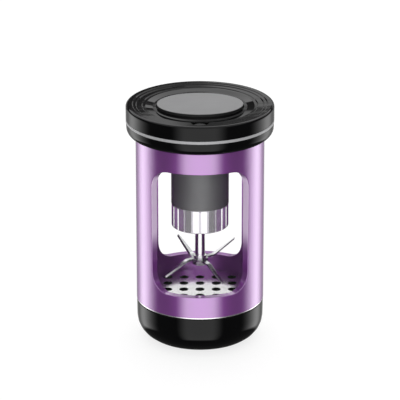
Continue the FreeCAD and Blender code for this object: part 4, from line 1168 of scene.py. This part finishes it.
def studio_camera():
    """A long lens a little above the lid, aimed at the middle of the grinder."""
    sleeve_r = box_rz("window_sleeve")[0]
    elevation = math.radians(20.08)
    centre_z = 2.598 * sleeve_r
    distance = 42.40 * sleeve_r
    eye = np.array([0.0, -distance * math.cos(elevation),
                    centre_z + distance * math.sin(elevation)])
    aim_drop = 0.3405 * sleeve_r
    aim = np.array([0.0, 0.0, centre_z - aim_drop])
    data = bpy.data.cameras.new("studio_camera")
    data.sensor_width = 36.0
    data.lens = 244.7
    data.clip_start = 0.1
    camera = bpy.data.objects.new("studio_camera", data)
    bpy.context.collection.objects.link(camera)
    camera.location = eye
    way = aim - eye
    camera.rotation_euler = (math.atan2(math.hypot(way[0], way[1]), -way[2]), 0.0,
                             math.atan2(-way[0], way[1]))
    bpy.context.scene.camera = camera


def studio_floor():
    """A pale paper sheet, level with the foot, with a faint tooth."""
    finish = Finish("floor_paper")
    tooth = finish.noise(finish.place(), 900.0, 2.0)
    material = finish.set(
        Base_Color=finish.blend(tooth, (0.22, 0.22, 0.22, 1.0), (0.25, 0.25, 0.25, 1.0)),
        Roughness=0.9,
        Emission_Color=(1.0, 1.0, 1.0, 1.0),
        Emission_Strength=0.80,
    )
    reach = 3.0
    ends = np.array([-reach, reach])
    flat = np.stack(np.meshgrid(ends, ends, indexing="ij"), -1).reshape(-1, 2)
    points = np.concatenate([flat, np.zeros((4, 1))], 1)
    floor = placed("floor", points, grid_faces(2, 2, False, False).tolist())
    floor.data.materials.append(material)
    floor.visible_glossy = False


class GRINDER_OT_stage(bpy.types.Operator):
    """Set up the camera, the floor and the light"""

    bl_idname = "grinder.stage"
    bl_label = "Stage"

    def execute(self, context):
        studio_camera()
        studio_floor()
        studio_light()
        context.scene.view_settings.view_transform = "Standard"
        return {"FINISHED"}


class GRINDER_PT_panel(bpy.types.Panel):
    """Sizes, colours and pieces of the grinder"""

    bl_idname = "GRINDER_PT_panel"
    bl_label = "Grinder"
    bl_space_type = "VIEW_3D"
    bl_region_type = "UI"
    bl_category = "Grinder"

    def draw(self, context):
        layout = self.layout
        for group in (context.scene.grinder_sizes, context.scene.grinder_colours):
            column = layout.column(align=True)
            for name in group.__annotations__:
                column.prop(group, name)
        for operator in OPERATORS:
            layout.operator(operator.bl_idname)


OPERATORS = [GRINDER_OT_finishes, GRINDER_OT_cup, GRINDER_OT_sleeve, GRINDER_OT_lid,
             GRINDER_OT_nose_ring, GRINDER_OT_rotor, GRINDER_OT_stage]
CLASSES = [GrinderSizes, GrinderColours, GRINDER_PT_panel] + OPERATORS


def register():
    for each in CLASSES:
        bpy.utils.register_class(each)
    bpy.types.Scene.grinder_sizes = PointerProperty(type=GrinderSizes)
    bpy.types.Scene.grinder_colours = PointerProperty(type=GrinderColours)


def unregister():
    del bpy.types.Scene.grinder_colours
    del bpy.types.Scene.grinder_sizes
    for each in reversed(CLASSES):
        bpy.utils.unregister_class(each)


def main():
    register()
    bpy.ops.grinder.finishes()
    bpy.ops.grinder.cup()
    bpy.ops.grinder.sleeve()
    bpy.ops.grinder.lid()
    bpy.ops.grinder.nose_ring()
    bpy.ops.grinder.rotor()
    bpy.ops.grinder.stage()


if __name__ == "__main__":
    main()
